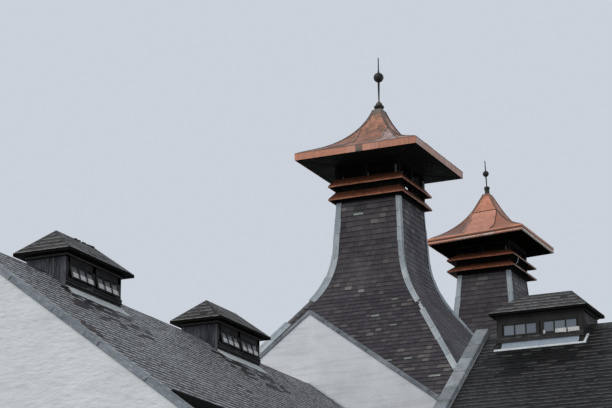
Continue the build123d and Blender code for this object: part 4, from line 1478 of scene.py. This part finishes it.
# %% [markdown]
# A turned finial ends each cap. A lathe is the natural tool: one profile, as radius and height, is
# carried round the axis. The ball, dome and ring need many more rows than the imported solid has, so this
# piece takes its place.

# %% Finials
def round_bead(low_z, high_z, radius, rows):
    """Profile (radius, height, tone) of a ball or bead between two heights, round the rod."""
    middle, reach = (low_z + high_z) / 2, (high_z - low_z) / 2
    turns = [math.pi * row / rows for row in range(1, rows)]
    return [(max(radius * math.sin(turn), rod), middle - reach * math.cos(turn), 0.0) for turn in turns]


rod, sides_round, ball_rows = 0.019, 28, 14
# Each profile lists (radius, height, tone) from the cap's tip up
finials = (
    [(0.100, 1.823, 0.5), (0.096, 1.850, 0.5), (0.100, 1.876, 0.5), (0.140, 1.880, 0.0), (0.148, 1.892, 0.0),
     (0.148, 1.928, 0.0), (0.140, 1.940, 0.0), (0.108, 1.943, 0.0), (0.104, 1.965, 1.0), (0.098, 1.99, 1.0),
     (0.088, 2.015, 1.0), (0.072, 2.042, 1.0), (0.050, 2.066, 0.9), (0.030, 2.080, 0.3), (rod, 2.087, 0.0)]
    + round_bead(2.684, 2.980, 0.148, ball_rows)
    + [(rod, 3.05, 0.0), (rod * 0.8, 3.440, 0.0), (rod * 0.4, 3.453, 0.0)],
    [(0.084, 1.926, 0.75), (0.078, 2.00, 0.75), (0.079, 2.085, 0.75), (0.094, 2.098, 0.0),
     (0.097, 2.115, 0.0), (0.097, 2.142, 0.0), (0.090, 2.164, 0.0), (0.070, 2.184, 0.0), (rod, 2.195, 0.0)]
    + round_bead(2.540, 2.748, 0.104, ball_rows)
    + [(rod, 2.80, 0.0), (rod * 0.8, 3.100, 0.0), (rod * 0.4, 3.116, 0.0)])
angles = [2 * math.pi * side / sides_round for side in range(sides_round)]
for kiln, name in enumerate(kiln_names):
    pile = Pile()
    rings = [[cap_middles[kiln] + up * z + Vector((math.cos(angle), math.sin(angle), 0)) * radius
              for angle in angles] for radius, z, _ in finials[kiln]]
    tones = [tone for _, _, tone in finials[kiln][:-1] for _ in angles]
    pile.tube(rings, [tones[0]] + tones + [tones[-1]])
    pile.move(cap_frames[kiln])
    pile.piece(f"{name}_turned_finial", painted_iron, "finial_iron", [f"{name}_finial"], smooth_below=50)

# %% [markdown]
# The roof lanterns are timber boxes that straddle the ridge: upright boards on the ends, and on the
# long sides two sashes over a dark sill, with a pale lead apron dressed down over the slates. On the
# long range the sashes hang open, with dark upper panes and pale lower ones, both painted reflection.
# On the wing they are shut, and their blue-grey panes are painted reflection of the sky. Each lantern
# is dressed in its own frame: x across the ridge, y along it, z up from the ridge.

# %% The lantern's own frame and its sizes
class Spot:
    """Turns a lantern's own x, y, z into the building's frame."""
    def __init__(self, origin, across, along):
        self.origin, self.across, self.along = origin, across, along

    def __call__(self, x, y, z):
        return self.origin + self.across * x + self.along * y + up * z


def block(pile, spot, low_corner, high_corner, tone):
    (x0, y0, z0), (x1, y1, z1) = low_corner, high_corner
    pile.tube([[spot(x0, y0, z), spot(x1, y0, z), spot(x1, y1, z), spot(x0, y1, z)] for z in (z0, z1)], tone)


lantern_apron, lantern_sill, lantern_head, lantern_post = 0.15, 0.10, 0.13, 0.13


class Lantern:
    """Sizes of one kind of lantern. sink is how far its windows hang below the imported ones."""
    def __init__(self, half, length, over, eaves, top, ridge, tilt, slope, sink):
        self.half, self.length, self.over, self.eaves = half, length, over, eaves
        self.top, self.ridge, self.tilt, self.slope = top, ridge, math.radians(tilt), slope
        self.foot = -slope * half
        self.sill = self.foot + lantern_apron - sink
        self.glass_low = self.sill + lantern_sill
        self.head = eaves - lantern_head - sink
        self.sash_tall = eaves - lantern_head + slope * half - lantern_apron - lantern_sill - 0.012


long_lantern = Lantern(half=0.45, length=1.065, over=0.22, eaves=0.37, top=0.96, ridge=0.755, tilt=14,
                       slope=range_slope, sink=0.055)
wing_lantern = Lantern(half=0.52, length=0.98, over=0.155, eaves=0.28, top=0.82, ridge=0.60, tilt=0,
                       slope=wing_slope, sink=0.068)


# %% Boards, sashes and moss
def clad_ends(pile, spot, kind, count, rng, tones):
    """Upright boards over both ends, down to the slates."""
    half, length, slope, high_z = kind.half + 0.018, kind.length, kind.slope, kind.eaves - 0.075
    for end in (-1, 1):
        for index in range(count):
            a, b = (-half + 2 * half * i / count for i in (index, index + 1))
            a, b = a + 0.002, b - 0.002
            y0, y1 = sorted((end * (length + 0.015), end * (length + 0.024 + rng.uniform(0, 0.005))))
            ring = [(a, -slope * abs(a) + 0.01), (b, -slope * abs(b) + 0.01), (b, high_z), (a, high_z)]
            tone = tones[1] if index in (0, count - 1) else rng.uniform(*tones)
            pile.tube([[spot(x, y, z) for x, z in ring] for y in (y0, y1)], tone)


def hang_sash(glass, bars, spot, kind, side, end, pane_tones, rng):
    """One sash in its opening, hung from the head and swung out by the lantern's tilt. pane_tones has
    the tones of each row of panes."""
    opening = kind.length - 1.5 * lantern_post
    middle = end * (kind.length - lantern_post / 2) / 2
    hinge_x, tall = kind.half + 0.012, kind.sash_tall

    def place(y, down, proud):
        x = hinge_x + down * math.sin(kind.tilt) + proud * math.cos(kind.tilt)
        return spot(side * x, y, kind.head - down * math.cos(kind.tilt) + proud * math.sin(kind.tilt))

    def sheet(pile, y0, y1, down0, down1, back, front, tone):
        section = ((down0, back), (down0, front), (down1, front), (down1, back))
        pile.tube([[place(y, down, proud) for down, proud in section] for y in (y0, y1)], tone)

    columns, rows = len(pane_tones[0]), len(pane_tones)
    splits = [0.0, tall] if rows == 1 else [0.0, tall * 0.56, tall]
    left = middle - opening / 2
    for row, tones in enumerate(pane_tones):
        for column, tone in enumerate(tones):
            y0, y1 = left + opening * column / columns, left + opening * (column + 1) / columns
            sheet(glass, y0, y1, splits[row], splits[row + 1], -0.003, 0.003, tone)
    for bar in range(columns + 1):
        y = left + opening * bar / columns
        wide = 0.020 if rows == 2 else 0.014
        y0, y1 = max(y - wide, left), min(y + wide, left + opening)
        sheet(bars, y0, y1, 0.0, tall, -0.014, 0.014, 0.05)
        # On the long range a pale strip on one edge of each bar is a painted highlight
        if rows == 2:
            sheet(bars, y0 - 0.004, y0 + 0.008, 0.04, tall, -0.014, 0.022, rng.uniform(0.8, 1.0))
    for down0, down1 in ((0.0, 0.024), (tall - 0.022, tall)):
        sheet(bars, left, left + opening, down0, down1, -0.014, 0.016, 0.05)


def lay_moss(pile, spot, places, rng):
    """Low cushions of moss, each a squashed bead at a place with a size."""
    for (x, y, z), size in places:
        rings = []
        for row in range(5):
            angle = math.pi * row / 4
            radius = size * (0.15 + math.sin(angle)) * rng.uniform(0.85, 1.15)
            rings.append([spot(x + radius * math.cos(a), y + radius * math.sin(a),
                               z - size * 0.6 * math.cos(angle)) for a in (0.3, 1.4, 2.5, 3.6, 4.7, 5.7)])
        pile.tube(rings, rng.uniform(0.0, 1.0))


# %% Rails, aprons and the hipped roof
def long_rails(rail, kind):
    """Head, sill and corner board on one side of a lantern of the long range."""
    end_y, sill, glass_low = kind.length + 0.02, kind.sill, kind.glass_low
    rail(-end_y, end_y, glass_low - 0.038, glass_low + 0.003, 0.054, 0.15)
    rail(-end_y, end_y, sill - 0.002, sill + 0.034, 0.060, 0.35)
    rail(-end_y, end_y, sill + 0.034, glass_low - 0.038, 0.034, 0.0)
    rail(-end_y, end_y, sill - 0.062, sill - 0.003, 0.030, 0.0)
    rail(-0.33, -0.12, sill + 0.036, sill + 0.048, 0.062, 1.0)
    rail(-end_y, end_y, kind.head - 0.004, kind.eaves - 0.045, 0.020, 0.1)
    rail(-kind.length - 0.015, -kind.length + 0.03, glass_low, kind.eaves - 0.08, 0.024, 0.62)


def wing_rails(rail, kind, rng, chips=14):
    """Sill with chipped paint, head and posts on one side of a wing lantern."""
    end_y, glass_low = kind.length + 0.02, kind.glass_low
    rail(-end_y, end_y, kind.sill, glass_low + 0.004, 0.054, 0.6)
    for index in range(chips):
        y = -kind.length + 2 * kind.length * (index + 0.5) / chips
        rail(y - 0.07, y + 0.07, glass_low - 0.03, glass_low + rng.uniform(0.004, 0.016), 0.058,
             rng.uniform(0.3, 1.0))
    rail(-end_y, end_y, kind.head, kind.eaves - 0.026, 0.030, 0.35)
    for y in (-kind.length + 0.05, -0.04, 0.04, kind.length - 0.05):
        rail(y - 0.05, y + 0.05, glass_low, kind.head, 0.030, rng.uniform(0.3, 0.6))


def lay_apron(pile, spot, kind, side, wing, rng):
    """Lead dressed down from the sill over the slates. The wing's also has a raised lip along its foot
    and a fold at one end."""
    half, foot, slope, length = kind.half, kind.foot, kind.slope, kind.length
    reach = length - 0.09 if wing else length + 0.03
    crest, low_x = kind.sill - 0.002 - (0.0 if wing else 0.060), 0.14 if wing else 0.27
    tones = (0.0, 0.25) if wing else (0.85, 1.0)

    def strip_of(ring, y0, y1, tone):
        pile.tube([[spot(side * x, y, z) for x, z in ring] for y in (y0, y1)], tone)

    for y0, y1 in ((-reach, 0.0), (0.004, reach)):
        strip_of([(half + 0.024, crest), (half + 0.034, crest), (half + 0.038, foot + 0.020),
                  (half + low_x, foot - slope * low_x + 0.026), (half + low_x, foot - slope * low_x + 0.020),
                  (half + 0.026, foot + 0.010)], y0, y1, rng.uniform(*tones))
    if wing:
        strip_of([(half + out, foot - slope * out + lift) for out, lift in
                  ((0.135, 0.020), (0.135, 0.034), (0.185, 0.034), (0.185, 0.020))],
                 -length - 0.06, length + 0.10, 0.95)
        strip_of([(half + 0.185, foot - slope * 0.185 + 0.024), (half - 0.10, -slope * (half - 0.10) + 0.03),
                  (half - 0.10, -slope * (half - 0.10) + 0.06), (half + 0.15, foot - slope * 0.15 + 0.05)],
                 length + 0.045, length + 0.10, 0.9)


def roof_lantern(roof, spot, kind, course, rng):
    """Slates, lead hips and ridge stones of a lantern's hipped roof."""
    wide, deep, eave_z = kind.half + kind.over, kind.length + kind.over, kind.eaves + 0.05
    rise, end_rise = (kind.top - eave_z) / wide, (kind.top - eave_z) / (deep - kind.ridge)
    corners = {(sx, sy): spot(sx * wide, sy * deep, eave_z) for sx in (-1, 1) for sy in (-1, 1)}
    crest = {sy: spot(0, sy * kind.ridge, kind.top) for sy in (-1, 1)}
    for side in (-1, 1):
        for face in (flat_face(crest[-side], crest[side], corners[side, -side], corners[side, side]),
                     flat_face(crest[side], crest[side], corners[side, side], corners[-side, side])):
            lay_slates(roof, face, course, 0.22, rng, thickness=0.006, top=0.01)
    for (sx, sy), foot in corners.items():
        tangent = (foot - crest[sy]).normalized()
        normals = [(spot.across * sx * rise + up).normalized(),
                   (spot.along * sy * end_rise + up).normalized()]
        roof.tube([hip_ring(point, *normals, tangent, 0.010, 0.045, 0.004)
                   for point in (crest[sy], foot - tangent * 0.02)], 0.2)
    lay_ridge(roof, crest[-1] + spot.along * 0.01, crest[1] - spot.along * 0.01, rise, rng, rise=0.0)


# %% Dress the four lanterns
def dress_lantern(name, spot, kind, panes, rng, wing):
    """All that one lantern wears, from the boards of its ends to its roof."""
    half, length, eaves = kind.half, kind.length, kind.eaves
    walls, frames, aprons, roof = Pile(), Pile(), Pile(), Pile()
    clad_ends(walls, spot, kind, 8 if wing else 14, rng, (0.2, 0.75) if wing else (0.1, 0.95))
    for side in (-1, 1):
        def rail(y0, y1, z0, z1, proud, tone):
            x0, x1 = sorted((side * (half - 0.004), side * (half + proud)))
            block(frames, spot, (x0, y0, z0), (x1, y1, z1), tone)

        if wing:
            wing_rails(rail, kind, rng)
        else:
            long_rails(rail, kind)
        for end in (-1, 1):
            # Pane tones are painted reflection: dark over pale on the long range, blue-grey on the wing
            if wing:
                tones = [[rng.uniform(0.38, 0.5) for _ in range(3)]]
            else:
                tones = [[0.0, 0.02, 0.0], [rng.uniform(0.80, 0.88) for _ in range(3)]]
            hang_sash(panes, frames, spot, kind, side, end, tones, rng)
        lay_apron(aprons, spot, kind, side, wing, rng)
    # The moulding under the eaves is paler on the long range: partly weathered, partly painted highlight
    for side in (-1, 1):
        for x0, x1, y0, y1 in (
                (side * (half + 0.042), side * (half + 0.048), -length - 0.048, length + 0.048),
                (-half - 0.048, half + 0.048, side * (length + 0.042), side * (length + 0.048))):
            (x0, x1), (y0, y1) = sorted((x0, x1)), sorted((y0, y1))
            block(frames, spot, (x0, y0, eaves - 0.040), (x1, y1, eaves - 0.010), 0.5 if wing else 0.9)
    roof_lantern(roof, spot, kind, 0.17 if wing else 0.14, rng)
    walls.piece(f"{name}_boards", brown_board if wing else weather_board_and_glints, "lantern_timber")
    frames.piece(f"{name}_frames", black_board, "lantern_timber")
    aprons.piece(f"{name}_apron", wing_apron if wing else pale_apron, "slate")
    roof.piece(f"{name}_slates", lantern_slate, "slate")


spots = []
panes = Pile()
for index, (name, box) in enumerate(zip(lantern_names, lantern_walls)):
    middle = (box[0] + box[1]) / 2
    wing = index >= 2
    if wing:
        spot = Spot(Vector((middle.x, wing_axis, wing_ridge)), Vector((0, -1, 0)), Vector((1, 0, 0)))
    else:
        spot = Spot(Vector((0, middle.y, range_ridge)), Vector((1, 0, 0)), Vector((0, 1, 0)))
    spots.append(spot)
    dress_lantern(name, spot, wing_lantern if wing else long_lantern, panes, random.Random(name), wing)
panes.piece("lantern_panes", pane_painted_reflection, "glass", ["lantern_glass"])

# %% Small things on the lanterns: moss, peeling paint, and bright painted light behind two panes
rng = random.Random(77)
pile = Pile()
lay_moss(pile, spots[0], [((rng.uniform(-0.03, 0.03), y, 0.965), rng.uniform(0.016, 0.034))
                          for y in (rng.uniform(-0.10, 0.74) for _ in range(46))], rng)
lay_moss(pile, spots[0], [((rng.uniform(0.44, 0.56), rng.uniform(-1.20, -1.09), -0.36),
                           rng.uniform(0.014, 0.026)) for _ in range(12)], rng)
pile.piece("lantern_moss", moss, "slate", smooth_below=60)
pile = Pile()
for _ in range(11):
    x = rng.uniform(-0.37, -0.17)
    z = -range_slope * abs(x) + rng.uniform(0.0, 0.10)
    block(pile, spots[0], (x, -1.096, z),
          (x + rng.uniform(0.006, 0.018), -1.090, z + rng.uniform(0.02, 0.05)), 0.5)
# Bright blocks behind the wing panes are painted light: sky seen through the glass
for y0, y1, tall in ((0.348, 0.605, 0.082), (0.640, 0.900, 0.082), (0.075, 0.12, 0.075)):
    block(pile, spots[2], (0.5475, y0, -0.222), (0.5505, y1, -0.205 + tall), 1.0)
pile.piece("peeling_paint_and_sky_patches", peeling_paint_and_sky_patches, "lantern_timber")

# %% [markdown]
# The lower windows are plain painted sashes, six panes over six, set back in the thick walls over
# stone sills. They are below the photograph's edge, so they only repeat what such a range has.

# %% Sashes and sills of the lower windows
# Rails and stiles: from and to across the window, from and to in height
sash_rails = ((-0.45, -0.40, 0, 1.3), (0.40, 0.45, 0, 1.3), (-0.45, 0.45, 0, 0.07), (-0.45, 0.45, 1.24, 1.3),
              (-0.45, 0.45, 0.63, 0.68))
sashes, sills = Pile(), Pile()
# Corners of the glass within 1.2 m go together. That puts a window's lower and upper corners in two
# groups, so each window also gets a sill across its head and a sash hidden in the wall above it.
windows = {}
for vertex in nodes["wall_glass"].data.vertices:
    key = None
    for middle in windows:
        if (Vector(middle) - vertex.co).length < 1.2:
            key = middle
    windows.setdefault(key or tuple(vertex.co), []).append(vertex.co.copy())
for points in windows.values():
    lows = Vector([min(p[i] for p in points) for i in range(3)])
    highs = Vector([max(p[i] for p in points) for i in range(3)])
    middle = (lows + highs) / 2
    if highs.x - lows.x < 0.1:
        out = Vector((math.copysign(1, middle.x), 0, 0))
    else:
        out = Vector((0, math.copysign(1, middle.y - wing_axis), 0))
    spot = Spot(Vector((middle.x, middle.y, lows.z)), up.cross(out), out)
    rng = random.Random(round(middle.x * 7 + middle.y * 13))
    for x0, x1, z0, z1 in sash_rails:
        block(sashes, spot, (x0, -0.04, z0), (x1, 0.035, z1), rng.uniform(0.3, 0.8))
    for x in (-0.14, 0.14):
        block(sashes, spot, (x - 0.012, -0.02, 0.03), (x + 0.012, 0.02, 1.27), 0.5)
    for z in (0.35, 0.95):
        block(sashes, spot, (-0.42, -0.02, z - 0.012), (0.42, 0.02, z + 0.012), 0.5)
    block(sills, spot, (-0.52, 0.05, -0.12), (0.52, 0.215, 0.002), rng.uniform(0.2, 0.8))
sashes.piece("window_sashes", window_paint, "glass")
sills.piece("window_sills", sill_stone, "white_render", bevel=0.008)

# %% [markdown]
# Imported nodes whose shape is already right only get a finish. Copings are replaced above.

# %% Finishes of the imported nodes
def wear(material, *ends, part=""):
    """Gives a finish to the nodes whose names hold part and end in one of ends."""
    for name, made in nodes.items():
        if part in name and name.endswith(ends):
            made.data.materials.clear()
            made.data.materials.append(material)


wear(felt_and_gutter_shade, "roof")
wear(felt_and_gutter_shade, "", part="_spire_")
# The lantern eaves, vent frames and cap eaves are near-black, partly tar and partly painted shade
wear(tarred_and_painted_shade_board, "roof", part="lantern")
wear(black_board, "walls", part="long_range_lantern")
wear(brown_board, "walls", part="wing_lantern")
wear(white_rubble, "wall", "gable")
wear(white_render, "kiln_south_gable")
wear(cap_copper, "south_kiln_copper_cap")
wear(new_copper, "north_kiln_copper_cap")
wear(skirt_copper, "vent_skirts")
wear(tarred_and_painted_shade_board, "cap_eaves", "vent_frame")
wear(black_board, "long_range_snow_guard")
wear(pane_glass, "wall_glass")
